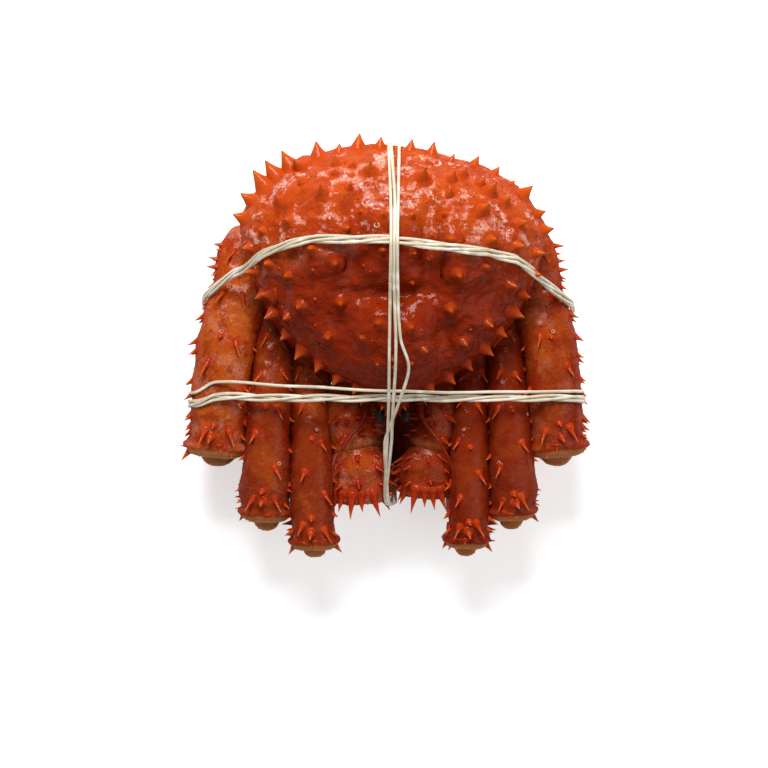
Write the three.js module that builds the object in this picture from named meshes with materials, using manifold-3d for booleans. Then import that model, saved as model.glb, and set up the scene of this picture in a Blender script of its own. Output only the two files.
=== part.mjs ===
// Red king crab, whole, its legs folded forward and tucked under the body, tied with palm-fibre bands.
// Millimetres at life size. +Z is up, -Y is the front of the crab and +X is its left. The floor is z = 0.

import * as THREE from 'three';
import { mergeVertices } from 'three/addons/utils/BufferGeometryUtils.js';
import Module from 'manifold-3d';

const wasm = await Module();
wasm.setup();

// Driving dimensions
const SHELL_WIDTH = 184;
const SHELL_SUMMIT = 120;
const GAP = 0.35;
const SPINE_SINK = 2.5;
const SPINE_CLEARANCE = 0.4;
const SEED = 42;

// The bands: half the thickness of the fibre, how far it stands off the shell that it lies on, and how far
// a straight run may cut inside the outline that it follows
const FIBRE_HALF_THICKNESS = 1.1;
const FIBRE_STANDOFF = 0.9;
const FIBRE_SAMPLES = 24;
const FIBRE_SAG = 0.3;
const FIBRE_MIN_STEP = 2.2;

// Shell colours
const SHELL_RED = 0xb9401f;
const DEEP_RED = 0x96281a;
const LEG_RED = 0xc04a26;
const CLAW_RED = 0xa83420;
const BELLY_CREAM = 0xd9b08c;
const EYE_BLACK = 0x1a1310;
const FIBRE_CREAM = 0xddd2b0;

const AXIS_X = new THREE.Vector3(1, 0, 0);
const AXIS_Y = new THREE.Vector3(0, 1, 0);
const AXIS_Z = new THREE.Vector3(0, 0, 1);

/** A repeatable stream of numbers from 0 to 1. */
function randomStream(seed) {
  let state = seed >>> 0;
  return () => {
    state = (state + 0x6d2b79f5) >>> 0;
    let word = Math.imul(state ^ (state >>> 15), 1 | state);
    word = (word + Math.imul(word ^ (word >>> 7), 61 | word)) ^ word;
    return ((word ^ (word >>> 14)) >>> 0) / 4294967296;
  };
}

const random = randomStream(SEED);

/** A number from low to high. */
function between(low, high) {
  return low + (high - low) * random();
}

/** The value named key at place along stations that rise in their field named by, joined smoothly. */
function valueAt(stations, by, key, place) {
  const last = stations.length - 1;
  const at = THREE.MathUtils.clamp(place, stations[0][by], stations[last][by]);
  let i = 0;
  while (i < last - 1 && at > stations[i + 1][by]) i += 1;
  const slope = (k) => {
    const a = stations[Math.max(k - 1, 0)];
    const b = stations[Math.min(k + 1, last)];
    return (b[key] - a[key]) / (b[by] - a[by]);
  };
  const span = stations[i + 1][by] - stations[i][by];
  const t = (at - stations[i][by]) / span;
  const rise = stations[i + 1][key] - stations[i][key];
  const start = slope(i) * span;
  const end = slope(i + 1) * span;
  return stations[i][key] + t * (start + t * (3 * rise - 2 * start - end + t * (start + end - 2 * rise)));
}

/** A closed geometry as a solid that can be joined and cut. */
function solidFrom(geometry) {
  const bare = new THREE.BufferGeometry();
  bare.setAttribute('position', geometry.getAttribute('position'));
  bare.setIndex(geometry.index);
  const merged = mergeVertices(bare, 1e-4);
  const mesh = new wasm.Mesh({
    numProp: 3,
    vertProperties: new Float32Array(merged.attributes.position.array),
    triVerts: new Uint32Array(merged.index.array),
  });
  return new wasm.Manifold(mesh);
}

/** A closed skin over rings of like count, from a pole at each end, or joined round into a loop. */
function skinOver(rings, poles) {
  const count = rings[0].length;
  const positions = rings.flat().flatMap((p) => [p.x, p.y, p.z]);
  const index = [];
  const lastRing = poles ? rings.length - 1 : rings.length;
  for (let r = 0; r < lastRing; r += 1) {
    const next = (r + 1) % rings.length;
    for (let k = 0; k < count; k += 1) {
      const a = r * count + k;
      const b = r * count + ((k + 1) % count);
      const c = next * count + k;
      const d = next * count + ((k + 1) % count);
      index.push(a, b, d, a, d, c);
    }
  }
  if (poles) {
    const first = rings.length * count;
    poles.forEach((p) => positions.push(p.x, p.y, p.z));
    for (let k = 0; k < count; k += 1) {
      const next = (k + 1) % count;
      index.push(first, next, k);
      index.push(first + 1, (rings.length - 1) * count + k, (rings.length - 1) * count + next);
    }
  }
  const geometry = new THREE.BufferGeometry();
  geometry.setAttribute('position', new THREE.Float32BufferAttribute(positions, 3));
  geometry.setIndex(index);
  const solid = solidFrom(geometry);
  if (solid.volume() > 0) return solid;
  for (let i = 0; i < index.length; i += 3) [index[i + 1], index[i + 2]] = [index[i + 2], index[i + 1]];
  geometry.setIndex(index);
  return solidFrom(geometry);
}

/** The largest closed body of a solid. */
function largestBody(solid) {
  const bodies = solid.decompose();
  return bodies.reduce((best, body) => (body.volume() > best.volume() ? body : best), bodies[0]);
}

/** A solid with others cut away from it, as one body. */
function cutClear(solid, ...others) {
  return largestBody(others.reduce((rest, other) => rest.subtract(other), solid));
}

/** The solid of a box between two corners. */
function blockBetween(low, high) {
  const size = new THREE.Vector3().subVectors(high, low);
  const geometry = new THREE.BoxGeometry(size.x, size.y, size.z);
  geometry.translate((low.x + high.x) / 2, (low.y + high.y) / 2, (low.z + high.z) / 2);
  return solidFrom(geometry);
}

const UNDER_FLOOR = blockBetween(new THREE.Vector3(-300, -300, -60), new THREE.Vector3(300, 300, 0));

// What the spines of a node have to stay clear of: the swollen bodies of the others, and their spines
const obstacles = [];

function addObstacle(owner, solid) {
  obstacles.push({ owner, solid, box: solid.boundingBox() });
}

function boxesMeet(a, b) {
  return [0, 1, 2].every((i) => a.min[i] <= b.max[i] && b.min[i] <= a.max[i]);
}

function meetsObstacle(owner, solid) {
  const box = solid.boundingBox();
  return obstacles.some(
    (o) => o.owner !== owner && boxesMeet(o.box, box) && o.solid.intersect(solid).volume() > 1e-6,
  );
}

/** A tapered spine whose root is sunk below the point that it stands on. */
function spike(point, direction, length, radius, sides) {
  const reach = length + SPINE_SINK;
  const geometry = new THREE.ConeGeometry(radius, reach, sides, 1);
  geometry.translate(0, reach / 2 - SPINE_SINK, 0);
  geometry.rotateY(random() * Math.PI);
  geometry.applyQuaternion(new THREE.Quaternion().setFromUnitVectors(AXIS_Y, direction));
  geometry.translate(point.x, point.y, point.z);
  return solidFrom(geometry);
}

/** A spiny node in the making: its body, and the spines that stand clear of every other node. */
class SpinyNode {
  constructor(name, core) {
    this.name = name;
    this.core = core;
    this.spines = [];
  }

  /** Adds a spine, shorter where it would touch a neighbour, and leaves it out where there is no room. */
  grow(point, direction, length, radius, sides = 5) {
    const aim = direction.clone().normalize();
    for (const share of [1, 0.75, 0.5]) {
      const halo = spike(point, aim, length * share + SPINE_CLEARANCE * 2, radius * share + SPINE_CLEARANCE, sides);
      if (!meetsObstacle(this.name, halo)) {
        this.spines.push(spike(point, aim, length * share, radius * share, sides));
        addObstacle(this.name, halo);
        return;
      }
    }
  }

  solid() {
    return largestBody(wasm.Manifold.union([this.core, ...this.spines]));
  }
}

// Carapace: half width, height of the crest and of the rim, and its underside, from the rostrum to the rear
const SHELL_STATIONS = [
  { y: -80, half: 3, crest: 84, rim: 80, under: 76 },
  { y: -73, half: 12, crest: 89, rim: 79, under: 72 },
  { y: -66, half: 22, crest: 94, rim: 78, under: 69 },
  { y: -58, half: 36, crest: 99, rim: 77, under: 68 },
  { y: -45, half: 55, crest: 106, rim: 76, under: 67 },
  { y: -28, half: 71, crest: 112, rim: 75, under: 67 },
  { y: -8, half: 83, crest: 116, rim: 74, under: 67 },
  { y: 12, half: 90, crest: 119, rim: 74, under: 67 },
  { y: 30, half: SHELL_WIDTH / 2, crest: SHELL_SUMMIT, rim: 74, under: 67 },
  { y: 48, half: 86, crest: 115, rim: 74, under: 67 },
  { y: 62, half: 72, crest: 106, rim: 75, under: 67 },
  { y: 72, half: 54, crest: 96, rim: 76, under: 68 },
  { y: 78, half: 36, crest: 86, rim: 77, under: 69 },
];
const ARCH_FLATNESS = 2.3;
const ARCH_ROUNDNESS = 1.75;
const SHELL_RING_TOP = 18;
const SHELL_RING_UNDER = 5;

// Swellings and grooves of the carapace: centre, radii and height, mirrored where x is not 0
const SHELL_RELIEF = [
  { x: 0, y: -42, rx: 24, ry: 22, rise: 8 },
  { x: 0, y: 24, rx: 17, ry: 22, rise: 4 },
  { x: 48, y: 16, rx: 24, ry: 40, rise: 6 },
  { x: 23, y: 22, rx: 7, ry: 34, rise: -6 },
  { x: 0, y: -9, rx: 26, ry: 7, rise: -8 },
  { x: 33, y: -26, rx: 9, ry: 18, rise: -7 },
];

/** Height of the carapace over a point of the plan. */
function shellHeight(x, y) {
  const half = valueAt(SHELL_STATIONS, 'y', 'half', y);
  const crest = valueAt(SHELL_STATIONS, 'y', 'crest', y);
  const rim = valueAt(SHELL_STATIONS, 'y', 'rim', y);
  const across = Math.min(Math.abs(x) / half, 1);
  const arch = (1 - across ** ARCH_FLATNESS) ** (1 / ARCH_ROUNDNESS);
  const relief = SHELL_RELIEF.reduce((sum, r) => {
    const reach = ((Math.abs(x) - r.x) / r.rx) ** 2 + ((y - r.y) / r.ry) ** 2;
    return sum + r.rise * Math.exp(-reach);
  }, 0);
  return rim + (crest - rim + relief) * arch;
}

/** Outward direction of the carapace over a point of the plan. */
function shellNormal(x, y) {
  const step = 3;
  const slopeX = (shellHeight(x + step, y) - shellHeight(x - step, y)) / (2 * step);
  const slopeY = (shellHeight(x, y + step) - shellHeight(x, y - step)) / (2 * step);
  return new THREE.Vector3(-slopeX, -slopeY, 1).normalize();
}

/** The bare carapace, swollen on every side by grow. */
function shellBody(grow) {
  const rings = SHELL_STATIONS.flatMap((station, i) => {
    const next = SHELL_STATIONS[i + 1];
    return next ? [station.y, (station.y + next.y) / 2] : [station.y];
  }).map((y) => {
    const half = valueAt(SHELL_STATIONS, 'y', 'half', y);
    const rim = valueAt(SHELL_STATIONS, 'y', 'rim', y);
    const under = valueAt(SHELL_STATIONS, 'y', 'under', y);
    const ring = [];
    for (let k = 0; k <= SHELL_RING_TOP; k += 1) {
      const side = Math.sin((k / SHELL_RING_TOP - 0.5) * Math.PI);
      const x = half * side;
      ring.push(new THREE.Vector3(x + grow * side, y, shellHeight(x, y) + grow * Math.sqrt(1 - side * side)));
    }
    for (let k = 1; k < SHELL_RING_UNDER; k += 1) {
      const turn = (k / SHELL_RING_UNDER) * Math.PI;
      const x = (half + grow) * Math.cos(turn);
      const drop = (rim - under + grow) * Math.sin(turn) ** 0.6;
      ring.push(new THREE.Vector3(x, y, rim - drop));
    }
    return ring;
  });
  const poles = [rings[0], rings[rings.length - 1]].map((ring, i) => {
    const middle = ring.reduce((sum, p) => sum.add(p), new THREE.Vector3()).divideScalar(ring.length);
    middle.y += (i === 0 ? -1 : 1) * (2.5 + grow);
    return middle;
  });
  return skinOver(rings, poles);
}

/** A long rounded body along a path: stations give its centre and its half sizes across and through. */
class Limb {
  constructor(stations, across, options = {}) {
    this.stations = stations.map((s, i) => ({ ...s, t: i / (stations.length - 1) }));
    this.path = new THREE.CatmullRomCurve3(stations.map((s) => new THREE.Vector3(...s.at)), false, 'centripetal');
    this.across = across;
    this.sides = options.sides ?? 10;
    this.rings = options.rings ?? 7;
    this.squareness = options.squareness ?? 2.3;
    this.round = options.round ?? 0.45;
  }

  frame(t) {
    const at = THREE.MathUtils.clamp(t, 0, 1);
    const along = this.path.getTangent(at);
    const side = this.across.clone().addScaledVector(along, -this.across.dot(along)).normalize();
    const up = new THREE.Vector3().crossVectors(side, along);
    if (up.z < 0 || (Math.abs(up.z) < 0.2 && up.y > 0)) up.negate();
    return {
      centre: this.path.getPoint(at),
      along,
      side,
      up,
      wide: valueAt(this.stations, 't', 'wide', at),
      deep: valueAt(this.stations, 't', 'deep', at),
    };
  }

  offset(frame, angle, grow, scale) {
    const c = Math.cos(angle);
    const s = Math.sin(angle);
    const reach = (Math.abs(c) ** this.squareness + Math.abs(s) ** this.squareness) ** (-1 / this.squareness);
    return new THREE.Vector3()
      .addScaledVector(frame.side, c * reach * (frame.wide * scale + grow))
      .addScaledVector(frame.up, s * reach * (frame.deep * scale + grow));
  }

  /** A point of the skin and its outward direction: angle 0 is to the side, a quarter turn is up. */
  skin(t, angle) {
    const frame = this.frame(t);
    const point = frame.centre.clone().add(this.offset(frame, angle, 0, 1));
    const out = new THREE.Vector3()
      .addScaledVector(frame.side, Math.cos(angle) / frame.wide)
      .addScaledVector(frame.up, Math.sin(angle) / frame.deep)
      .normalize();
    return { point, out, along: frame.along };
  }

  body(grow = 0) {
    const ringAt = (frame, scale, shift) =>
      Array.from({ length: this.sides }, (_, k) => {
        const angle = ((k + 0.5) / this.sides) * 2 * Math.PI;
        const point = frame.centre.clone().add(this.offset(frame, angle, grow, scale));
        return point.addScaledVector(frame.along, shift);
      });
    const rings = [];
    const bulges = [0, 1].map((t) => {
      const frame = this.frame(t);
      return { frame, reach: Math.min(frame.wide, frame.deep) * this.round + grow };
    });
    rings.push(ringAt(bulges[0].frame, 0.72, -bulges[0].reach * 0.6));
    for (let i = 0; i <= this.rings; i += 1) rings.push(ringAt(this.frame(i / this.rings), 1, 0));
    rings.push(ringAt(bulges[1].frame, 0.72, bulges[1].reach * 0.6));
    const poles = [
      bulges[0].frame.centre.clone().addScaledVector(bulges[0].frame.along, -bulges[0].reach),
      bulges[1].frame.centre.clone().addScaledVector(bulges[1].frame.along, bulges[1].reach),
    ];
    return skinOver(rings, poles);
  }
}

// The two sides differ a little: how far the legs spread, how far forward they reach and the claw's bulk
const SIDES = [
  { name: 'right', sign: -1, spread: 1.03, reach: 1.0, claw: 1.0 },
  { name: 'left', sign: 1, spread: 0.965, reach: 0.985, claw: 0.87 },
];

// Walking legs from the front one to the rear one, in plan: x and y of root, hip and knee, the lanes that the
// folded part keeps to at its ankle, wrist and tip, and the half sizes of the merus and the foot
const WALKING_LEGS = [
  {
    name: 'first', root: [40, -22], hip: [53, -43], knee: [48, -163], ankle: [51, -146], wrist: [50, -52],
    tip: [42, 9], wide: 11.2, deep: 15.5, foot: 10.4, spineLength: 7,
  },
  {
    name: 'second', root: [45, 2], hip: [71, -22], knee: [78, -145], ankle: [79, -129], wrist: [71, -36],
    tip: [56, 27], wide: 12, deep: 16.5, foot: 11, spineLength: 7,
  },
  {
    name: 'third', root: [45, 27], hip: [89, 29], knee: [108, -104], ankle: [106, -91], wrist: [93, 6],
    tip: [68, 56], wide: 15.2, deep: 16, foot: 11.4, spineLength: 9,
  },
];
const CLAW_LEG = {
  root: [27, -44], hip: [32, -64], elbow: [24, -104], front: [21.5, -128], lane: 22.5, palm: [-114, -46], tip: -5,
};

const HIP_HEIGHT = 50;
const MERUS_HEIGHT = 56;
const KNEE_HEIGHT = 53;
const ANKLE_HEIGHT = 11.2;
const SHANK_HEIGHT = 16.8;

/** The lengths of one walking leg: its base, merus, carpus, propodus and dactyl. */
function walkingLegLimbs(leg, side) {
  const place = ([x, y], z) => [x * side.sign * side.spread, y < -100 ? -100 + (y + 100) * side.reach : y, z];
  const mix = (a, b, share) => [a[0] + (b[0] - a[0]) * share, a[1] + (b[1] - a[1]) * share];
  const shift = ([x, y], dx, dy) => [x + dx, y + dy];
  const wide = leg.wide * side.spread;
  const { root, hip, knee, ankle, wrist, tip, deep, foot } = leg;
  const bow = shift(mix(hip, knee, 0.5), (knee[0] - hip[0]) * 0.2, 0);
  return {
    base: new Limb(
      [
        { at: place(shift(root, -8, 3), HIP_HEIGHT + 1), wide: 9, deep: 11 },
        { at: place(mix(root, hip, 0.5), HIP_HEIGHT - 1), wide: 8.2, deep: 10 },
        { at: place(shift(hip, -1, -1), HIP_HEIGHT - 1), wide: 7.2, deep: 9 },
      ],
      AXIS_Y, { rings: 2, sides: 8 },
    ),
    merus: new Limb(
      [
        { at: place(shift(hip, 1, -3), HIP_HEIGHT), wide: wide * 0.66, deep: deep * 0.7 },
        { at: place(mix(hip, bow, 0.4), HIP_HEIGHT + 1), wide: wide * 0.8, deep: deep * 0.86 },
        { at: place(bow, MERUS_HEIGHT), wide, deep },
        { at: place(shift(mix(bow, knee, 0.7), 0, 0), KNEE_HEIGHT + 3), wide: wide * 1.03, deep: deep * 0.98 },
        { at: place(knee, KNEE_HEIGHT), wide: wide * 0.86, deep: deep * 0.78 },
      ],
      AXIS_X, { rings: 6, sides: 10, squareness: 2.5 },
    ),
    carpus: new Limb(
      [
        { at: place(shift(knee, 0, -3), KNEE_HEIGHT - 8), wide: wide * 0.66, deep: deep * 0.55 },
        { at: place(shift(mix(knee, ankle, 0.4), 0, -4), KNEE_HEIGHT * 0.6), wide: wide * 0.82, deep: 10.5 },
        { at: place(shift(ankle, 0, -5), ANKLE_HEIGHT + 8), wide: foot * 0.98, deep: foot * 0.9 },
      ],
      AXIS_X, { rings: 3, sides: 10 },
    ),
    propodus: new Limb(
      [
        { at: place(ankle, ANKLE_HEIGHT), wide: foot, deep: ANKLE_HEIGHT + 1.9 },
        { at: place(mix(ankle, wrist, 0.18), SHANK_HEIGHT - 0.8), wide: foot, deep: foot * 0.98 },
        { at: place(mix(ankle, wrist, 0.55), SHANK_HEIGHT), wide: foot * 0.86, deep: foot * 0.94 },
        { at: place(wrist, SHANK_HEIGHT - 2), wide: foot * 0.68, deep: foot * 0.74 },
      ],
      AXIS_X, { rings: 5, sides: 8 },
    ),
    dactyl: new Limb(
      [
        { at: place(shift(wrist, 0, 2), SHANK_HEIGHT - 2), wide: foot * 0.52, deep: foot * 0.56 },
        { at: place(mix(wrist, tip, 0.4), SHANK_HEIGHT - 2.5), wide: foot * 0.42, deep: foot * 0.5 },
        { at: place(mix(wrist, tip, 0.8), 6.5), wide: foot * 0.22, deep: foot * 0.26 },
        { at: place(tip, 1.1), wide: 1.4, deep: 1.9 },
      ],
      AXIS_X, { rings: 4, sides: 6 },
    ),
  };
}

/** The lengths of one claw leg: base, merus, carpus, palm with its fixed finger, and the moving finger. */
function clawLimbs(side) {
  const { root, hip, elbow, front, lane, palm, tip } = CLAW_LEG;
  const x = (value) => value * side.sign;
  const size = side.claw;
  const palmX = x(lane - 2 + 2 * size);
  return {
    base: new Limb(
      [
        { at: [x(root[0] - 6), root[1] + 4, HIP_HEIGHT + 1], wide: 9, deep: 10.5 },
        { at: [x(hip[0] - 1), hip[1] + 2, HIP_HEIGHT], wide: 8, deep: 10 },
      ],
      AXIS_X, { rings: 3, sides: 10 },
    ),
    merus: new Limb(
      [
        { at: [x(hip[0]), hip[1] - 2, HIP_HEIGHT + 0.5], wide: 9, deep: 11 },
        { at: [x((hip[0] + elbow[0]) / 2 + 1), (hip[1] + elbow[1]) / 2, HIP_HEIGHT + 4], wide: 11.5 * size, deep: 12.5 * size },
        { at: [x(elbow[0]), elbow[1] + 2, HIP_HEIGHT + 5], wide: 12.5 * size, deep: 12 * size },
      ],
      AXIS_X, { rings: 5, sides: 10 },
    ),
    carpus: new Limb(
      [
        { at: [x(elbow[0] - 1), elbow[1] - 2, HIP_HEIGHT + 4], wide: 12.5 * size, deep: 12.5 * size },
        { at: [x(front[0] + 0.5), (elbow[1] + front[1]) / 2, HIP_HEIGHT + 4], wide: 16.6 * size, deep: 15 * size },
        { at: [x(front[0]), front[1], HIP_HEIGHT + 1], wide: 16 * size, deep: 13.5 * size },
      ],
      AXIS_X, { rings: 5, sides: 10 },
    ),
    palm: new Limb(
      [
        { at: [palmX, front[1] + 1, 27], wide: 12.5 * size, deep: 11 * size },
        { at: [palmX, palm[0] + 4, 16.5], wide: 15 * size, deep: 17.3 },
        { at: [palmX, palm[0] * 0.6 + palm[1] * 0.4, 18.2], wide: 16 * size, deep: 13.4 * size },
        { at: [palmX, palm[1], 17.6], wide: 14 * size, deep: 11.6 * size },
      ],
      AXIS_X, { rings: 6, sides: 10 },
    ),
    fixedFinger: new Limb(
      [
        { at: [palmX + x(7 * size), palm[1] - 6, 16], wide: 7 * size, deep: 8.5 * size },
        { at: [palmX + x(6.4 * size), palm[1] * 0.5 + tip * 0.5, 13], wide: 5.2 * size, deep: 6.2 * size },
        { at: [palmX + x(2.6), tip, 8], wide: 1.8, deep: 2.2 },
      ],
      AXIS_X, { rings: 4, sides: 8 },
    ),
    finger: new Limb(
      [
        { at: [palmX - x(6.6 * size), palm[1] + 2, 17], wide: 6.6 * size, deep: 8 * size },
        { at: [palmX - x(6.2 * size), palm[1] * 0.5 + tip * 0.5, 14], wide: 5.2 * size, deep: 6.2 * size },
        { at: [palmX - x(2.8), tip + 1, 9], wide: 1.8, deep: 2.2 },
      ],
      AXIS_X, { rings: 4, sides: 8 },
    ),
  };
}

// Rows of spines on the carapace, one side of the midline: ends in plan, how many, and their length
const SHELL_ROWS = [
  { from: [15, 66], to: [8, 14], count: 3, length: 9 },
  { from: [10, -29], to: [8, -53], count: 2, length: 9 },
  { from: [26, 68], to: [33, -16], count: 5, length: 9 },
  { from: [46, 52], to: [58, -18], count: 4, length: 11 },
  { from: [66, 46], to: [72, -34], count: 5, length: 10 },
  { from: [40, 66], to: [60, 57], count: 2, length: 11 },
  { from: [42, -36], to: [27, -52], count: 2, length: 8 },
];
// The spines round the margin, from the rear one beside the midline to the front corner of the rostrum
const MARGIN_LENGTHS = [11, 13, 8, 13, 10, 8, 13, 11, 13, 10, 12, 9, 12, 9, 11, 9, 11, 9];
const MARGIN_INSET = 0.93;

/** A point of the margin: share 0 is the middle of the rear, and 1 is the side of the rostrum. */
function marginPoint(share) {
  const steps = 60;
  const outline = [];
  const rear = SHELL_STATIONS[SHELL_STATIONS.length - 1];
  outline.push(new THREE.Vector2(3, rear.y));
  for (let i = 0; i <= steps; i += 1) {
    const y = rear.y - ((rear.y + 70) * i) / steps;
    outline.push(new THREE.Vector2(valueAt(SHELL_STATIONS, 'y', 'half', y), y));
  }
  const lengths = [0];
  outline.slice(1).forEach((p, i) => lengths.push(lengths[i] + p.distanceTo(outline[i])));
  const target = share * lengths[lengths.length - 1];
  const i = Math.max(1, lengths.findIndex((length) => length >= target));
  const part = (target - lengths[i - 1]) / (lengths[i] - lengths[i - 1]);
  return outline[i - 1].clone().lerp(outline[i], part);
}

function shellSpine(node, x, y, length) {
  const half = valueAt(SHELL_STATIONS, 'y', 'half', y) * 0.96;
  const inside = THREE.MathUtils.clamp(x, -half, half);
  const out = shellNormal(inside, y);
  const point = new THREE.Vector3(inside, y, shellHeight(inside, y) - 0.4);
  node.grow(point, out.addScaledVector(AXIS_Z, 0.12), length, Math.min(2.1 + length * 0.25, 5.2), 5);
}

function makeCarapace(node) {
  for (const sign of [-1, 1]) {
    MARGIN_LENGTHS.forEach((length, i) => {
      const p = marginPoint((i + 0.55) / MARGIN_LENGTHS.length);
      const inset = new THREE.Vector2(p.x * MARGIN_INSET, p.y > 60 ? p.y - 4 : p.y * 0.985);
      shellSpine(node, sign * inset.x, inset.y + between(-1, 1), length + between(-1, 1));
    });
    SHELL_ROWS.forEach((row) => {
      for (let i = 0; i < row.count; i += 1) {
        const share = row.count > 1 ? i / (row.count - 1) : 0;
        const x = THREE.MathUtils.lerp(row.from[0], row.to[0], share) + between(-2, 2);
        const y = THREE.MathUtils.lerp(row.from[1], row.to[1], share) + between(-2, 2);
        shellSpine(node, sign * x, y, row.length + between(-1.5, 1.5));
      }
    });
  }
  // The rostrum: its own point, and a pair of smaller ones behind it
  node.grow(new THREE.Vector3(0, -79, 81), new THREE.Vector3(0, -1, 0.25), 9, 3.4, 6);
  for (const sign of [-1, 1]) {
    node.grow(new THREE.Vector3(sign * 5, -74, 86), new THREE.Vector3(sign * 0.3, -0.6, 0.8), 8, 3, 5);
    node.grow(new THREE.Vector3(sign * 17, -68, 82), new THREE.Vector3(sign * 0.4, -1, 0.25), 8, 3, 5);
  }
}

/** A row of spines along a limb: the angle that it stands at, its share of the length, and its sizes. */
function limbRow(node, limb, row) {
  for (let i = 0; i < row.count; i += 1) {
    const share = row.count > 1 ? i / (row.count - 1) : 0.5;
    const t = THREE.MathUtils.lerp(row.from, row.to, share) + between(-0.02, 0.02);
    const angle = row.angle + between(-0.12, 0.12);
    const { point, out, along } = limb.skin(t, angle);
    const lean = row.lean ?? 0.25;
    const length = row.length * between(0.82, 1.15);
    point.addScaledVector(out, -0.4);
    node.grow(point, out.addScaledVector(along, lean), length, Math.min(1.3 + length * 0.2, 3.6), row.sides ?? 5);
  }
}

/** A ring of stout spines round the far end of a limb, over the angles that show. */
function limbCrown(node, limb, crown) {
  for (let i = 0; i < crown.count; i += 1) {
    const angle = THREE.MathUtils.lerp(crown.from, crown.to, i / (crown.count - 1));
    limbRow(node, limb, { angle, from: crown.at, to: crown.at, count: 1, length: crown.length, lean: crown.lean });
  }
}

const UP = Math.PI / 2;

/** The angle on a limb whose side axis is +X, mirrored for the crab's right so that 0 faces outwards. */
function outward(side, angle) {
  return side.sign > 0 ? angle : Math.PI - angle;
}

function armWalkingLeg(nodes, limbs, leg, side) {
  const at = (angle) => outward(side, angle);
  const n = leg.spineLength;
  limbRow(nodes.merus, limbs.merus, { angle: at(0.35), from: 0.12, to: 0.86, count: 7, length: n * 1.25, lean: 0.15 });
  limbRow(nodes.merus, limbs.merus, { angle: at(UP - 0.35), from: 0.1, to: 0.84, count: 6, length: n });
  limbRow(nodes.merus, limbs.merus, { angle: at(UP + 0.75), from: 0.25, to: 0.84, count: 3, length: n * 0.8 });
  limbCrown(nodes.merus, limbs.merus, { at: 0.95, from: at(0.1), to: at(Math.PI - 0.1), count: 5, length: n * 1.15, lean: 0.75 });
  limbRow(nodes.carpus, limbs.carpus, { angle: at(0.1), from: 0.3, to: 0.8, count: 3, length: n, lean: -0.2 });
  limbRow(nodes.carpus, limbs.carpus, { angle: at(UP - 0.5), from: 0.3, to: 0.85, count: 3, length: n, lean: -0.2 });
  limbRow(nodes.carpus, limbs.carpus, { angle: at(UP + 0.6), from: 0.35, to: 0.8, count: 2, length: n, lean: -0.2 });
  limbRow(nodes.propodus, limbs.propodus, { angle: at(0.25), from: 0.12, to: 0.86, count: 5, length: n * 0.8 });
  limbRow(nodes.propodus, limbs.propodus, { angle: at(UP - 0.3), from: 0.2, to: 0.75, count: 2, length: n * 0.65 });
}

function armClawLeg(nodes, limbs, side) {
  const at = (angle) => outward(side, angle);
  limbRow(nodes.merus, limbs.merus, { angle: at(UP - 0.5), from: 0.3, to: 0.85, count: 2, length: 7 });
  limbRow(nodes.merus, limbs.merus, { angle: at(UP + 0.5), from: 0.4, to: 0.85, count: 2, length: 7 });
  limbRow(nodes.carpus, limbs.carpus, { angle: at(UP - 0.7), from: 0.25, to: 0.75, count: 3, length: 8 });
  limbRow(nodes.carpus, limbs.carpus, { angle: at(UP), from: 0.3, to: 0.75, count: 2, length: 8 });
  limbRow(nodes.carpus, limbs.carpus, { angle: at(UP + 0.75), from: 0.3, to: 0.75, count: 2, length: 8 });
  limbCrown(nodes.carpus, limbs.carpus, { at: 0.98, from: at(0.25), to: at(Math.PI - 0.25), count: 6, length: 10, lean: 1.1 });
  limbRow(nodes.palm, limbs.palm, { angle: at(0.3), from: 0.2, to: 0.85, count: 4, length: 6 });
  limbRow(nodes.palm, limbs.palm, { angle: at(UP - 0.5), from: 0.25, to: 0.9, count: 3, length: 6 });
}

/** Thorax: the breast plates and the roots of the legs, under the carapace. */
function thoraxLimb() {
  return new Limb(
    [
      { at: [0, -66, 62], wide: 14, deep: 8 },
      { at: [0, -48, 57], wide: 32, deep: 14 },
      { at: [0, -18, 55], wide: 44, deep: 17 },
      { at: [0, 18, 56], wide: 48, deep: 17 },
      { at: [0, 46, 58], wide: 44, deep: 15 },
      { at: [0, 66, 62], wide: 30, deep: 9 },
    ],
    AXIS_X, { rings: 5, sides: 12, squareness: 3, round: 0.3 },
  );
}

/** Abdomen: the flap of six plates that folds forward from the rear of the carapace under the thorax. */
function abdomenLimb() {
  return new Limb(
    [
      { at: [0, 72, 60], wide: 27, deep: 5 },
      { at: [0, 66, 47], wide: 33, deep: 6 },
      { at: [0, 44, 36.5], wide: 36, deep: 4.5 },
      { at: [0, 16, 35.5], wide: 32, deep: 4 },
      { at: [0, -8, 36], wide: 20, deep: 3.5 },
      { at: [0, -20, 37], wide: 9, deep: 2.8 },
    ],
    AXIS_X, { rings: 9, sides: 10, squareness: 2.6, round: 0.5 },
  );
}

function eyeLimb(sign) {
  return new Limb(
    [
      { at: [sign * 6.5, -70, 70], wide: 2.2, deep: 2.2 },
      { at: [sign * 7.5, -77, 71.5], wide: 2.1, deep: 2.1 },
      { at: [sign * 8, -81, 73], wide: 3.2, deep: 3.4 },
      { at: [sign * 8.2, -84.5, 74.5], wide: 2.6, deep: 2.8 },
    ],
    AXIS_X, { rings: 4, sides: 8, round: 0.8 },
  );
}

function antennaLimb(sign) {
  return new Limb(
    [
      { at: [sign * 15, -66, 64], wide: 3.6, deep: 3.2 },
      { at: [sign * 16.5, -77, 68], wide: 3, deep: 2.8 },
      { at: [sign * 19, -86, 71], wide: 1.5, deep: 1.5 },
      { at: [sign * 28, -98, 74], wide: 1.1, deep: 1.1 },
      { at: [sign * 36.5, -114, 75], wide: 0.8, deep: 0.8 },
      { at: [sign * 38.5, -132, 73], wide: 0.5, deep: 0.5 },
    ],
    AXIS_X, { rings: 10, sides: 5 },
  );
}

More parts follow.
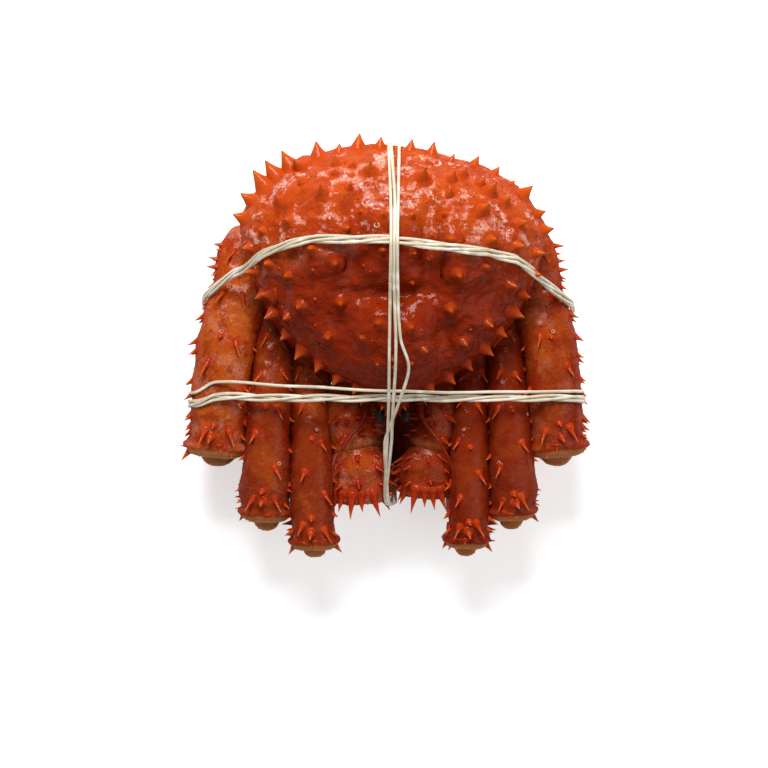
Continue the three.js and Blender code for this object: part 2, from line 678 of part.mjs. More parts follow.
function maxillipedLimb(sign) {
  return new Limb(
    [
      { at: [sign * 8.5, -50, 42], wide: 4.4, deep: 3.8 },
      { at: [sign * 8, -66, 46], wide: 4.6, deep: 4 },
      { at: [sign * 6.5, -78, 54], wide: 4, deep: 3.6 },
      { at: [sign * 5.5, -81, 63], wide: 2.6, deep: 2.4 },
    ],
    AXIS_X, { rings: 7, sides: 8 },
  );
}

/** Where the edges of a solid cross a plane, in the plane's own two directions. */
function crossings(solid, plane) {
  const mesh = solid.getMesh();
  const point = (i) => new THREE.Vector3().fromArray(mesh.vertProperties, mesh.numProp * i);
  const found = [];
  for (let i = 0; i < mesh.triVerts.length; i += 3) {
    for (let k = 0; k < 3; k += 1) {
      const a = point(mesh.triVerts[i + k]);
      const b = point(mesh.triVerts[i + ((k + 1) % 3)]);
      const heightA = a.clone().sub(plane.origin).dot(plane.normal);
      const heightB = b.clone().sub(plane.origin).dot(plane.normal);
      if (heightA * heightB < 0) {
        const at = a.lerp(b, heightA / (heightA - heightB));
        const away = at.clone().sub(plane.origin);
        found.push({ u: away.dot(plane.across), v: away.dot(plane.upward), at });
      }
    }
  }
  return found;
}

/** The convex outline of points in a plane, anticlockwise. */
function convexOutline(points) {
  const sorted = [...points].sort((a, b) => a.u - b.u || a.v - b.v);
  const turn = (o, a, b) => (a.u - o.u) * (b.v - o.v) - (a.v - o.v) * (b.u - o.u);
  const half = (list) => {
    const chain = [];
    for (const p of list) {
      while (chain.length > 1 && turn(chain[chain.length - 2], chain[chain.length - 1], p) <= 0) chain.pop();
      chain.push(p);
    }
    return chain.slice(0, -1);
  };
  return [...half(sorted), ...half(sorted.reverse())];
}

/** The corners of an outline that a taut band turns over, closer together where the outline is more curved. */
function turningPoints(outline) {
  const cornerAt = (angle) => {
    const reach = (p) => p.u * Math.cos(angle) + p.v * Math.sin(angle);
    return { angle, corner: outline.reduce((best, p) => (reach(p) > reach(best) ? p : best), outline[0]) };
  };
  const sag = (a, b, middle) => {
    const run = Math.hypot(b.u - a.u, b.v - a.v);
    return run > 0 ? Math.abs((b.u - a.u) * (middle.v - a.v) - (b.v - a.v) * (middle.u - a.u)) / run : 0;
  };
  const refined = (a, b, depth) => {
    const middle = cornerAt((a.angle + b.angle) / 2);
    if (depth === 0 || sag(a.corner, b.corner, middle.corner) < FIBRE_SAG) return [a];
    return [...refined(a, middle, depth - 1), ...refined(middle, b, depth - 1)];
  };
  const step = (2 * Math.PI) / FIBRE_SAMPLES;
  return Array.from({ length: FIBRE_SAMPLES }, (_, i) => refined(cornerAt(i * step), cornerAt((i + 1) * step), 4)).flat();
}

/** A band drawn taut round solids in a plane: its points, and the direction that faces away from the crab. */
function tautRoute(solids, band) {
  const { plane, keep, slab } = band;
  const points = [];
  for (const shift of [-1, -0.5, 0, 0.5, 1]) {
    const origin = plane.origin.clone().addScaledVector(plane.normal, shift * slab);
    solids.forEach((solid) => points.push(...crossings(solid, { ...plane, origin })));
  }
  const outline = convexOutline(points.filter((p) => !keep || keep(p.at)));
  const standoff = FIBRE_HALF_THICKNESS + FIBRE_STANDOFF;
  const route = [];
  for (const { angle, corner } of turningPoints(outline)) {
    const out = new THREE.Vector3()
      .addScaledVector(plane.across, Math.cos(angle))
      .addScaledVector(plane.upward, Math.sin(angle));
    const at = plane.origin.clone()
      .addScaledVector(plane.across, corner.u)
      .addScaledVector(plane.upward, corner.v)
      .addScaledVector(out, standoff);
    if (band.drift) at.addScaledVector(plane.normal, band.drift(at));
    const last = route[route.length - 1];
    if (!last || last.at.distanceTo(at) > FIBRE_MIN_STEP) route.push({ at, out });
  }
  if (route[0].at.distanceTo(route[route.length - 1].at) < FIBRE_MIN_STEP) route.pop();
  return route;
}

/** The closed loop of a flat band along its route. */
function bandBody(route, plane, halfWidth, grow = 0) {
  const wide = halfWidth + grow;
  const thick = FIBRE_HALF_THICKNESS + grow;
  const section = [[1, -0.45], [1, 0.45], [0.55, 1], [-0.55, 1], [-1, 0.45], [-1, -0.45], [-0.55, -1], [0.55, -1]];
  const rings = route.map(({ at, out }) =>
    section.map(([w, h]) => at.clone().addScaledVector(plane.normal, w * wide).addScaledVector(out, h * thick)));
  return skinOver(rings, null);
}

/** A plane through a point of the midline that holds the X axis and leans back by slope as it rises. */
function crossPlane(y, z, slope) {
  const upward = new THREE.Vector3(0, slope, 1).normalize();
  return {
    origin: new THREE.Vector3(0, y, z),
    across: AXIS_X.clone(),
    upward,
    normal: new THREE.Vector3().crossVectors(upward, AXIS_X).normalize(),
  };
}

const UPPER_BAND = { plane: crossPlane(24, 120, 0.575), slab: 4.2, halfWidth: 3 };
const LOWER_BAND = { plane: crossPlane(-72.5, 60, 0), slab: 3, halfWidth: 2.4 };
// The single strand climbs away from the lower band over the right leg and comes back at the midline
const STRAND_CLIMB = [
  { x: -124, rise: 0 },
  { x: -108, rise: 6 },
  { x: -60, rise: 3.6 },
  { x: 0, rise: 0 },
  { x: 130, rise: 0 },
];
const LOWER_STRAND = {
  plane: crossPlane(-68.1, 60, 0),
  slab: 4,
  halfWidth: 1.2,
  drift: (at) => (at.z > 30 ? valueAt(STRAND_CLIMB, 'x', 'rise', at.x) : 0),
};
const LONG_BAND = {
  plane: {
    origin: new THREE.Vector3(0, 0, 60),
    across: AXIS_Y.clone(),
    upward: AXIS_Z.clone(),
    normal: AXIS_X.clone(),
  },
  slab: 9,
  halfWidth: 3,
};
const CROSSING_HEIGHT = 60;

/** Builds every node as a solid, from the shell outwards, so that each keeps clear of those before it. */
function buildNodes() {
  const cores = new Map();
  const halos = new Map();
  const limbsOf = {};
  const put = (name, limb, ...neighbours) => {
    const around = [UNDER_FLOOR, ...neighbours.map((n) => halos.get(n))];
    cores.set(name, cutClear(limb.body(), ...around));
    halos.set(name, limb.body(GAP));
  };

  cores.set('carapace', shellBody(0));
  halos.set('carapace', shellBody(GAP));
  put('thorax', thoraxLimb(), 'carapace');
  put('abdomen', abdomenLimb(), 'carapace', 'thorax');

  for (const side of SIDES) {
    WALKING_LEGS.forEach((leg) => {
      const prefix = `${side.name}_${leg.name}_leg`;
      const limbs = walkingLegLimbs(leg, side);
      limbsOf[prefix] = { limbs, leg, side };
      put(`${prefix}_merus`, limbs.merus, 'carapace');
      put(`${prefix}_base`, limbs.base, 'carapace', 'thorax', `${prefix}_merus`);
      put(`${prefix}_carpus`, limbs.carpus, `${prefix}_merus`);
      put(`${prefix}_propodus`, limbs.propodus, `${prefix}_carpus`);
      put(`${prefix}_dactyl`, limbs.dactyl, `${prefix}_propodus`);
    });
    const prefix = `${side.name}_claw`;
    const limbs = clawLimbs(side);
    limbsOf[prefix] = { limbs, side };
    put(`${prefix}_merus`, limbs.merus, 'carapace');
    put(`${prefix}_base`, limbs.base, 'carapace', 'thorax', `${prefix}_merus`);
    put(`${prefix}_carpus`, limbs.carpus, `${prefix}_merus`);
    const hand = limbs.palm.body().add(limbs.fixedFinger.body());
    cores.set(`${prefix}_palm`, cutClear(hand, UNDER_FLOOR, halos.get(`${prefix}_carpus`)));
    halos.set(`${prefix}_palm`, limbs.palm.body(GAP).add(limbs.fixedFinger.body(GAP)));
    put(`${prefix}_finger`, limbs.finger, `${prefix}_palm`);
    const own = [`${prefix}_merus`, `${prefix}_carpus`];
    put(`${side.name}_eye`, eyeLimb(side.sign), 'carapace', 'thorax');
    put(`${side.name}_antenna`, antennaLimb(side.sign), 'carapace', 'thorax', ...own);
    put(`${side.name}_maxilliped`, maxillipedLimb(side.sign), 'carapace', 'thorax', ...own);
  }

  const bodies = [...cores.values()];
  const bands = new Map();
  const addBand = (name, band, solids) => {
    const route = tautRoute(solids, band);
    bands.set(name, bandBody(route, band.plane, band.halfWidth));
    addObstacle(name, bandBody(route, band.plane, band.halfWidth, SPINE_CLEARANCE));
  };
  addBand('upper_band', UPPER_BAND, bodies);
  addBand('lower_band', LOWER_BAND, bodies);
  addBand('lower_strand', LOWER_STRAND, bodies);
  const topOf = (solid) => cutClear(solid, blockBetween(
    new THREE.Vector3(-300, -300, -10), new THREE.Vector3(300, 300, CROSSING_HEIGHT)));
  addBand('long_band', LONG_BAND, [...bodies, ...[...bands.values()].map(topOf)]);

  addObstacle('floor', UNDER_FLOOR);
  halos.forEach((solid, name) => addObstacle(name, solid));

  const spiny = new Map();
  const spinyNode = (name) => {
    const node = new SpinyNode(name, cores.get(name));
    spiny.set(name, node);
    return node;
  };
  makeCarapace(spinyNode('carapace'));
  for (const [prefix, { limbs, leg, side }] of Object.entries(limbsOf)) {
    const nodes = {};
    ['merus', 'carpus', leg ? 'propodus' : 'palm'].forEach((part) => {
      nodes[part] = spinyNode(`${prefix}_${part}`);
    });
    if (leg) armWalkingLeg(nodes, limbs, leg, side);
    else armClawLeg(nodes, limbs, side);
  }

  const solids = new Map();
  cores.forEach((solid, name) => solids.set(name, spiny.has(name) ? spiny.get(name).solid() : solid));
  bands.forEach((solid, name) => solids.set(name, solid));
  return solids;
}

function colourOf(name) {
  if (name.includes('band') || name.includes('strand')) return { color: FIBRE_CREAM, roughness: 0.6 };
  if (name.includes('eye')) return { color: EYE_BLACK, roughness: 0.2 };
  if (name === 'thorax' || name === 'abdomen') return { color: BELLY_CREAM, roughness: 0.45 };
  if (name === 'carapace') return { color: SHELL_RED, roughness: 0.35 };
  if (name.includes('claw')) return { color: CLAW_RED, roughness: 0.35 };
  if (name.includes('leg')) return { color: LEG_RED, roughness: 0.35 };
  return { color: DEEP_RED, roughness: 0.4 };
}

function meshOf(name, solid) {
  const { vertProperties, triVerts } = solid.getMesh();
  const geometry = new THREE.BufferGeometry();
  geometry.setAttribute('position', new THREE.BufferAttribute(new Float32Array(vertProperties), 3));
  geometry.setIndex(new THREE.BufferAttribute(new Uint32Array(triVerts), 1));
  geometry.computeVertexNormals();
  const mesh = new THREE.Mesh(geometry, new THREE.MeshStandardMaterial({ metalness: 0, ...colourOf(name) }));
  mesh.name = name;
  return mesh;
}

const crab = new THREE.Group();
for (const [name, solid] of buildNodes()) crab.add(meshOf(name, solid));

// The origin is at the middle of the footprint, on the floor
const extent = new THREE.Box3().setFromObject(crab);
crab.position.set(-(extent.min.x + extent.max.x) / 2, -(extent.min.y + extent.max.y) / 2, 0);

export default crab;
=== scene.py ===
"""Looks of a red king crab, its legs folded forward under it and tied with palm fibre.

The shapes are worked out in the crab's own millimetres: +Z is up, -Y is its front, +X is its left and the
floor is z = 0. Plan.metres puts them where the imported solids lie. Every shell plate is a smooth skin that one
geometry tree roughens, sets with spines and strews with grains.
"""

import logging
import math
from collections.abc import Callable
from dataclasses import dataclass, field
from enum import Enum
from functools import reduce

import bpy
import numpy as np
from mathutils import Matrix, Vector

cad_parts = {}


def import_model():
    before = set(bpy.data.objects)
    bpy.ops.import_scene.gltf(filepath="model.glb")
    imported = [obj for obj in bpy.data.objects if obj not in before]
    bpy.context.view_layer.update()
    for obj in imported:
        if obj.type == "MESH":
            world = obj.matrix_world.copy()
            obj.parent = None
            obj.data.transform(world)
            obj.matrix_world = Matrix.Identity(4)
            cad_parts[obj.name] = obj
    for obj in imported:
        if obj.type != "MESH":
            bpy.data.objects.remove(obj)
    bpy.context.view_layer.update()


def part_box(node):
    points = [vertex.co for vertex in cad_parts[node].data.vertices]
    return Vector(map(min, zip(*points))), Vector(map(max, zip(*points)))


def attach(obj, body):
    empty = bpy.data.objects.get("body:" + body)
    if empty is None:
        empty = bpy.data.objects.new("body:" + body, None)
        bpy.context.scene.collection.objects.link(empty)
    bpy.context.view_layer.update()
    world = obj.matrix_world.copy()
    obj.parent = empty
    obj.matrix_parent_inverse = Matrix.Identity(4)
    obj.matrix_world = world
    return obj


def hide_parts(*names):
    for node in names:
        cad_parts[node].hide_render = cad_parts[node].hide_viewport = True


log = logging.getLogger("king_crab")

Array = np.ndarray
Colour = tuple[float, float, float]
Place = tuple[float, float]
Socket = bpy.types.NodeSocket
Piece = bpy.types.Object
# A factor on a limb's section, from the shares of its length and the angles round it
Relief = Callable[[Array, Array], Array]

MM = 0.001
UP = math.pi / 2
SEED = 42
AXIS_X, AXIS_Y, AXIS_Z = np.eye(3)


class Slot(Enum):
    """The finishes that the record names."""

    CARAPACE = "carapace_shell"
    LEG = "leg_shell"
    CLAW = "claw_shell"
    BELLY = "belly_shell"
    EYE = "eye"
    FIBRE = "palm_fibre"


# Curves and fields


def unit(vectors: Array) -> Array:
    """Vectors scaled to length 1."""
    return vectors / np.maximum(np.linalg.norm(vectors, axis=-1, keepdims=True), 1e-9)

def mix(a: Array, b: Array, share: Array) -> Array:
    """What lies between two points or numbers."""
    return a + (b - a) * share


def grow(values: Array, start: float, span: float) -> Array:
    """0 up to a start, 1 past its span and even between; a span below 0 runs downwards."""
    return np.clip((values - start) / span, 0, 1)


def bell(values: Array, middle: float, reach: float) -> Array:
    """A bump that is 1 in the middle and fades beyond its reach."""
    return np.exp(-(((values - middle) / reach) ** 2))


def walked(points: Array) -> Array:
    """The way along a line from its first point to each of them."""
    return np.concatenate([[0], np.cumsum(np.linalg.norm(np.diff(points, axis=0), axis=1))])


def bridge(low: Array, high: Array, start: Array, end: Array, t: Array) -> Array:
    """A smooth way from low to high that leaves and arrives with two given slopes."""
    rise = high - low
    return low + t * (start + t * (3 * rise - 2 * start - end + t * (start + end - 2 * rise)))


def smooth_value(places: Array, values: Array, at: Array) -> Array:
    """Values along rising stations, joined smoothly.

    Args:
        places: where the stations are, in rising order.
        values: the value at each station.
        at: the places that are asked for.

    Returns:
        The value at each of them.
    """
    last = len(places) - 1
    at = np.clip(np.asarray(at, float), places[0], places[-1])
    i = np.clip(np.searchsorted(places, at, side="right") - 1, 0, last - 1)
    before = np.maximum(np.arange(last + 1) - 1, 0)
    after = np.minimum(np.arange(last + 1) + 1, last)
    slope = (values[after] - values[before]) / (places[after] - places[before])
    span = places[i + 1] - places[i]
    return bridge(values[i], values[i + 1], slope[i] * span, slope[i + 1] * span, (at - places[i]) / span)


class Path:
    """A smooth line through points in space."""

    STEP = 0.0005

    def __init__(self, points: Array) -> None:
        """Keeps at least two points in millimetres, with one more past each end."""
        self.knots = np.vstack([2 * points[0] - points[1], points, 2 * points[-1] - points[-2]])

    def point(self, t: Array) -> Array:
        """The points at shares of the whole line.

        Args:
            t: shares from 0 to 1.

        Returns:
            One row for each share.
        """
        spans = len(self.knots) - 3
        place = np.clip(np.asarray(t, float), 0, 1) * spans
        i = np.minimum(place.astype(int), spans - 1)
        a, b, c, d = (self.knots[i + k] for k in range(4))
        ab, bc, cd = (
            np.maximum(np.linalg.norm(v - u, axis=1, keepdims=True), 1e-9) ** 0.5
            for u, v in ((a, b), (b, c), (c, d))
        )
        start = ((b - a) / ab - (c - a) / (ab + bc) + (c - b) / bc) * bc
        end = ((c - b) / bc - (d - b) / (bc + cd) + (d - c) / cd) * bc
        return bridge(b, c, start, end, (place - i)[:, None])

    def tangent(self, t: Array) -> Array:
        """The directions of the line at shares of it."""
        t = np.clip(np.asarray(t, float), self.STEP, 1 - self.STEP)
        return unit(self.point(t + self.STEP) - self.point(t - self.STEP))


@dataclass
class Plan:
    """Where the crab's own millimetres lie in the frame."""

    offset: Array

    @classmethod
    def from_frame(cls) -> "Plan":
        """Reads the offset off the bands, whose planes are known in the crab's own millimetres.

        Returns:
            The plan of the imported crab.
        """
        long_low, long_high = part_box("long_band")
        low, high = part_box("lower_band")
        x = (long_low.x + long_high.x) / 2 / MM
        y = (low.y + high.y) / 2 / MM - LOWER_BAND.y
        return cls(np.array([x, y, 0.0]))

    def metres(self, points: Array) -> Array:
        """Points of the crab in the frame's metres."""
        return (np.asarray(points, float) + self.offset) * MM
# Node trees


class Graph:
    """A node tree in the making."""

    def __init__(self, tree: bpy.types.NodeTree) -> None:
        """Keeps an empty shader or geometry tree."""
        self.tree = tree

    def add(self, kind: str, inputs: dict | None = None, **settings: object) -> bpy.types.Node:
        """Adds a node.

        Args:
            kind: the node's Blender type.
            inputs: values or sockets for its inputs, by name or number.
            settings: its own properties.

        Returns:
            The node.
        """
        node = self.tree.nodes.new(kind)
        for key, value in settings.items():
            setattr(node, key, value)
        for key, value in (inputs or {}).items():
            if isinstance(value, Socket):
                self.tree.links.new(value, node.inputs[key])
            else:
                node.inputs[key].default_value = value
        return node

    def out(self, kind: str, inputs: dict | None = None, **settings: object) -> Socket:
        """Adds a node and gives its first output."""
        return self.add(kind, inputs, **settings).outputs[0]

    def math(self, operation: str, *values: object) -> Socket:
        """A step such as MULTIPLY on numbers or sockets."""
        return self.out("ShaderNodeMath", dict(enumerate(values)), operation=operation)

    def times(self, *values: object) -> Socket:
        """The product of numbers or sockets."""
        return reduce(lambda a, b: self.math("MULTIPLY", a, b), values)

    def plus(self, *values: object) -> Socket:
        """The sum of numbers or sockets."""
        return reduce(lambda a, b: self.math("ADD", a, b), values)

    def rest(self, share: object) -> Socket:
        """What a share leaves of 1."""
        return self.math("SUBTRACT", 1.0, share)

    def vector(self, *values: object) -> Socket:
        """Three numbers or sockets as one vector."""
        return self.out("ShaderNodeCombineXYZ", dict(enumerate(values)))

    def ramp(self, value: Socket, low: float, high: float) -> Socket:
        """A number brought to 0 at low and to 1 at high, smoothly."""
        inputs = {"Value": value, "From Min": low, "From Max": high}
        return self.out("ShaderNodeMapRange", inputs, interpolation_type="SMOOTHSTEP")

    def noise(self, place: Socket, scale: object, detail: float, roughness: float) -> Socket:
        """Cloudy values; scale counts features in a metre."""
        inputs = {"Vector": place, "Scale": scale, "Detail": detail, "Roughness": roughness}
        return self.add("ShaderNodeTexNoise", inputs).outputs["Fac"]


class ShaderGraph(Graph):
    """The node tree of a finish."""

    def __init__(self, name: str) -> None:
        """Starts a material with an empty tree.

        Args:
            name: the material's name.
        """
        self.material = bpy.data.materials.new(name)
        self.material.use_nodes = True
        self.material.node_tree.nodes.clear()
        super().__init__(self.material.node_tree)
        self.place = self.add("ShaderNodeTexCoord").outputs["Object"]

    def clouds(self, scale: float, detail: float = 4.0, roughness: float = 0.6) -> Socket:
        """Cloudy values on Object coordinates."""
        return self.noise(self.place, scale, detail, roughness)

    def cells(self, scale: float) -> Socket:
        """Distances to the nearest of scattered points; scale counts cells in a metre."""
        return self.add("ShaderNodeTexVoronoi", {"Vector": self.place, "Scale": scale}).outputs["Distance"]

    def attribute(self, name: str) -> Socket:
        """A number that the mesh carries."""
        return self.add("ShaderNodeAttribute", attribute_name=name).outputs["Fac"]

    def blend(self, share: object, *colours: object) -> Socket:
        """A colour between two, each a colour or a socket: share 0 gives the first and 1 the second."""
        a, b = ((*colour, 1.0) if isinstance(colour, tuple) else colour for colour in colours)
        return self.add("ShaderNodeMix", {0: share, 6: a, 7: b}, data_type="RGBA").outputs[2]

    def bump(self, height: Socket, strength: float, distance: float) -> Socket:
        """The normals of a relief; the distance is in metres."""
        return self.out("ShaderNodeBump", {"Height": height, "Strength": strength, "Distance": distance})

    def finish(self, inputs: dict) -> bpy.types.Material:
        """Adds the shader with its inputs and gives the finished material."""
        self.add("ShaderNodeOutputMaterial", {"Surface": self.out("ShaderNodeBsdfPrincipled", inputs)})
        return self.material


@dataclass(frozen=True)
class ShellFinish:
    """Wet crab shell: mottled and grained, with a pale glaze in places that is partly a coat of rime and partly a
    painted highlight, and with spines that pale towards dark tips.
    """

    name: str
    deep: Colour
    body: Colour
    pale: Colour
    spine: Colour
    tip: Colour
    point: Colour = (0.32, 0.055, 0.008)
    tan: Colour = (0.40, 0.14, 0.04)
    # The dark colour of the carapace's front and of the limbs' flanks and undersides: partly their deeper tone,
    # partly painted shade
    front: Colour = (0.19, 0.014, 0.003)
    # The pale glaze's colour: partly rime, partly a painted highlight
    frost_and_highlight_colour: Colour = (0.88, 0.52, 0.42)
    scar: Colour = (0.52, 0.30, 0.20)
    mottle: float = 0.55
    patches: float = 0.4
    # How much of the pale glaze of rime and painted highlight the shell takes
    frost_and_highlight: float = 0.5
    grain: float = 620.0
    roughness: float = 0.3
    wetness: float = 0.085

    def material(self) -> bpy.types.Material:
        """Builds the node tree.

        Returns:
            The material.
        """
        g = ShaderGraph(self.name)
        blotch = g.clouds(110.0, 6.0, 0.65)
        cell = g.cells(self.grain)
        relief = g.plus(g.times(cell, -0.5), g.times(g.clouds(1100.0, 3.0), 0.4), g.times(blotch, 1.8))
        water = g.plus(blotch, g.times(g.clouds(420.0, 3.0), 0.35))
        return g.finish({
            # The pale glaze over the colour is partly a painted highlight
            "Base Color": g.blend(g.times(self.frost_and_highlight_share(g), self.frost_and_highlight), self.colour(g, blotch, cell), self.frost_and_highlight_colour),
            "Roughness": g.math("MULTIPLY_ADD", g.ramp(g.clouds(240.0), 0.35, 0.7), 0.28, self.roughness),
            "Normal": g.bump(relief, 0.4, 0.0012),
            "Specular IOR Level": 0.0,
            "Coat Weight": self.wetness,
            "Coat IOR": 2.0,
            "Coat Roughness": 0.07,
            "Coat Normal": g.bump(water, 0.35, 0.0012),
        })

    def colour(self, g: ShaderGraph, blotch: Socket, cell: Socket) -> Socket:
        """The colour of the shell below its pale glaze of rime and painted highlight, in layers.

        Args:
            g: the tree.
            blotch: middling clouds.
            cell: distances within the grain.

        Returns:
            The colour's socket.
        """
        tip, zone = g.attribute("tip"), g.attribute("zone")
        broad = g.plus(g.clouds(38.0), g.times(g.attribute("stripe"), 0.30))
        # Spines show less of their own paler colour where the shell is dark in tone or in painted shade
        lit = g.math("MULTIPLY_ADD", zone, -0.6, 1.0)
        colour = g.blend(g.ramp(broad, 0.40, 0.64), self.deep, self.body)
        layers = (
            # The shell itself, with a dark layer that is partly painted shade: where, how much, and what colour
            (g.ramp(blotch, 0.50, 0.74), self.mottle, self.pale),
            (g.ramp(g.clouds(300.0, 3.0, 0.7), 0.56, 0.70), self.mottle * 0.6, self.pale),
            (g.times(g.attribute("blush"), g.ramp(blotch, 0.22, 0.50)), 0.85, self.spine),
            (g.ramp(g.clouds(85.0, 3.0), 0.50, 0.60), self.patches, self.deep),
            # The dark front and the dark flanks and undersides: partly the shell's deeper tone, partly painted shade
            (g.times(zone, g.ramp(broad, 0.95, 0.60)), 0.94, self.front),
            (g.ramp(cell, 0.35, 0.8), 0.12, self.deep),
            (g.times(g.attribute("tan"), g.ramp(blotch, 0.15, 0.45)), 1.0, self.tan),
            # Grains, the rings of lost spines, and spines from their foot to their tip
            (g.attribute("grain"), 0.5, self.spine),
            (g.ramp(g.attribute("scar"), 0.15, 0.5), 1.0, self.scar),
            (g.times(g.ramp(tip, 0.02, 0.4), lit), 0.8, self.spine),
            (g.times(g.ramp(tip, 0.4, 0.9), lit), 0.7, self.tip),
            # The very end of each spine; on the legs and claws a pale end that is partly a painted glint
            (g.ramp(tip, 0.88, 0.97), 1.0, self.point),
        )
        for where, weight, shade in layers:
            colour = g.blend(g.times(where, weight), colour, shade)
        return colour

    def frost_and_highlight_share(self, g: ShaderGraph) -> Socket:
        """Where the pale glaze lies, partly a coat of rime and partly a painted highlight of the lamp: in torn
        patches, less in front and not beside spines.

        Args:
            g: the tree.

        Returns:
            The share of frost.
        """
        sheet = g.ramp(g.clouds(70.0, 7.0, 0.78), 0.515, 0.565)
        speck = g.ramp(g.clouds(520.0, 4.0, 0.8), 0.46, 0.60)
        # More glaze on the rear, which faces the lamp, and less in the dark front and in painted shade
        behind = g.math("POWER", g.rest(g.times(g.attribute("zone"), 0.98)), 1.5)
        beside = g.rest(g.ramp(g.attribute("blush"), 0.70, 0.96))
        return g.times(sheet, g.math("MAXIMUM", speck, 0.42), behind, beside)


@dataclass(frozen=True)
class CorneaFinish:
    """The eye's black, faceted, glossy cornea."""

    name: str = "eye_cornea"
    black: Colour = (0.012, 0.010, 0.010)
    brown: Colour = (0.045, 0.028, 0.020)

    def material(self) -> bpy.types.Material:
        """Builds the node tree.

        Returns:
            The material.
        """
        g = ShaderGraph(self.name)
        facets = g.cells(5200.0)
        return g.finish({
            "Base Color": g.blend(g.ramp(facets, 0.2, 0.8), self.black, self.brown), "Roughness": 0.2,
            "Normal": g.bump(facets, 0.3, 0.0001), "Specular IOR Level": 0.12,
            "Coat Weight": 0.12, "Coat Roughness": 0.04,
        })


@dataclass(frozen=True)
class FibreFinish:
    """Split palm fibre: cream, with olive lines along it and paler patches."""

    name: str = "palm_fibre"
    cream: Colour = (0.80, 0.70, 0.54)
    olive: Colour = (0.36, 0.31, 0.18)
    bleached: Colour = (0.92, 0.87, 0.76)

    def material(self) -> bpy.types.Material:
        """Builds the node tree, on the attributes that the sweep leaves: along and around.

        Returns:
            The material.
        """
        g = ShaderGraph(self.name)
        lane = g.vector(g.times(g.attribute("around"), 14.0), g.times(g.attribute("along"), 22.0), 0.0)
        ribs = g.noise(lane, 1.0, 5.0, 0.6)
        colour = g.blend(g.ramp(ribs, 0.36, 0.62), self.olive, self.cream)
        return g.finish({
            "Base Color": g.blend(g.times(g.ramp(g.clouds(70.0, 3.0), 0.45, 0.7), 0.7), colour, self.bleached),
            "Roughness": g.math("MULTIPLY_ADD", ribs, 0.25, 0.42),
            "Normal": g.bump(ribs, 0.6, 0.0004),
            "Sheen Weight": 0.15,
        })


@dataclass(frozen=True)
class FloorFinish:
    """A plain white table."""

    name: str = "pale_floor"
    colour: Colour = (0.8, 0.8, 0.8)

    def material(self) -> bpy.types.Material:
        """Builds the node tree."""
        white = (*self.colour, 1.0)
        inputs = {"Base Color": white, "Roughness": 0.9, "Emission Color": white, "Emission Strength": 0.7}
        return ShaderGraph(self.name).finish(inputs)


# Geometry trees


class GeometryTree(Graph):
    """A geometry tree whose sizes are named inputs."""

    def __init__(self, name: str, sockets: dict[str, str]) -> None:
        """Starts the tree.

        Args:
            name: the tree's name.
            sockets: the kind of each input, by name, after the geometry itself.
        """
        group = bpy.data.node_groups.new(name, "GeometryNodeTree")
        super().__init__(group)
        socket = group.interface.new_socket
        for way in ("INPUT", "OUTPUT"):
            socket("Geometry", in_out=way, socket_type="NodeSocketGeometry")
        self.keys = {
            key: socket(key, in_out="INPUT", socket_type=f"NodeSocket{kind}").identifier
            for key, kind in sockets.items()
        }
        self.inputs = self.add("NodeGroupInput").outputs

    def named(self, name: str, kind: str = "FLOAT") -> Socket:
        """A value that the geometry carries."""
        return self.add("GeometryNodeInputNamedAttribute", {"Name": name}, data_type=kind).outputs["Attribute"]

    def store(self, geometry: Socket, name: str, value: Socket) -> Socket:
        """Keeps a number on the geometry's points under a name."""
        inputs = {"Geometry": geometry, "Name": name, "Value": value}
        return self.out("GeometryNodeStoreNamedAttribute", inputs, data_type="FLOAT", domain="POINT")

    def end(self, geometry: Socket) -> None:
        """Realizes the instances, sets the material and closes the tree."""
        real = self.out("GeometryNodeRealizeInstances", {"Geometry": geometry})
        dressed = self.out("GeometryNodeSetMaterial", {"Geometry": real, "Material": self.inputs["material"]})
        self.add("NodeGroupOutput", {"Geometry": dressed})

    def apply(self, obj: Piece, name: str, values: dict[str, object]) -> Piece:
        """Runs the tree on an object and keeps the result as a plain mesh.

        Args:
            obj: the object that carries the geometry; it is removed.
            name: the finished piece's name.
            values: a value for each named input.

        Returns:
            The finished piece.
        """
        modifier = obj.modifiers.new("tree", "NODES")
        modifier.node_group = self.tree
        for key, value in values.items():
            modifier[self.keys[key]] = value
        bpy.context.view_layer.update()
        graph = bpy.context.evaluated_depsgraph_get()
        mesh = bpy.data.meshes.new_from_object(obj.evaluated_get(graph))
        mesh.name = name
        bpy.data.objects.remove(obj)
        return linked(name, mesh)


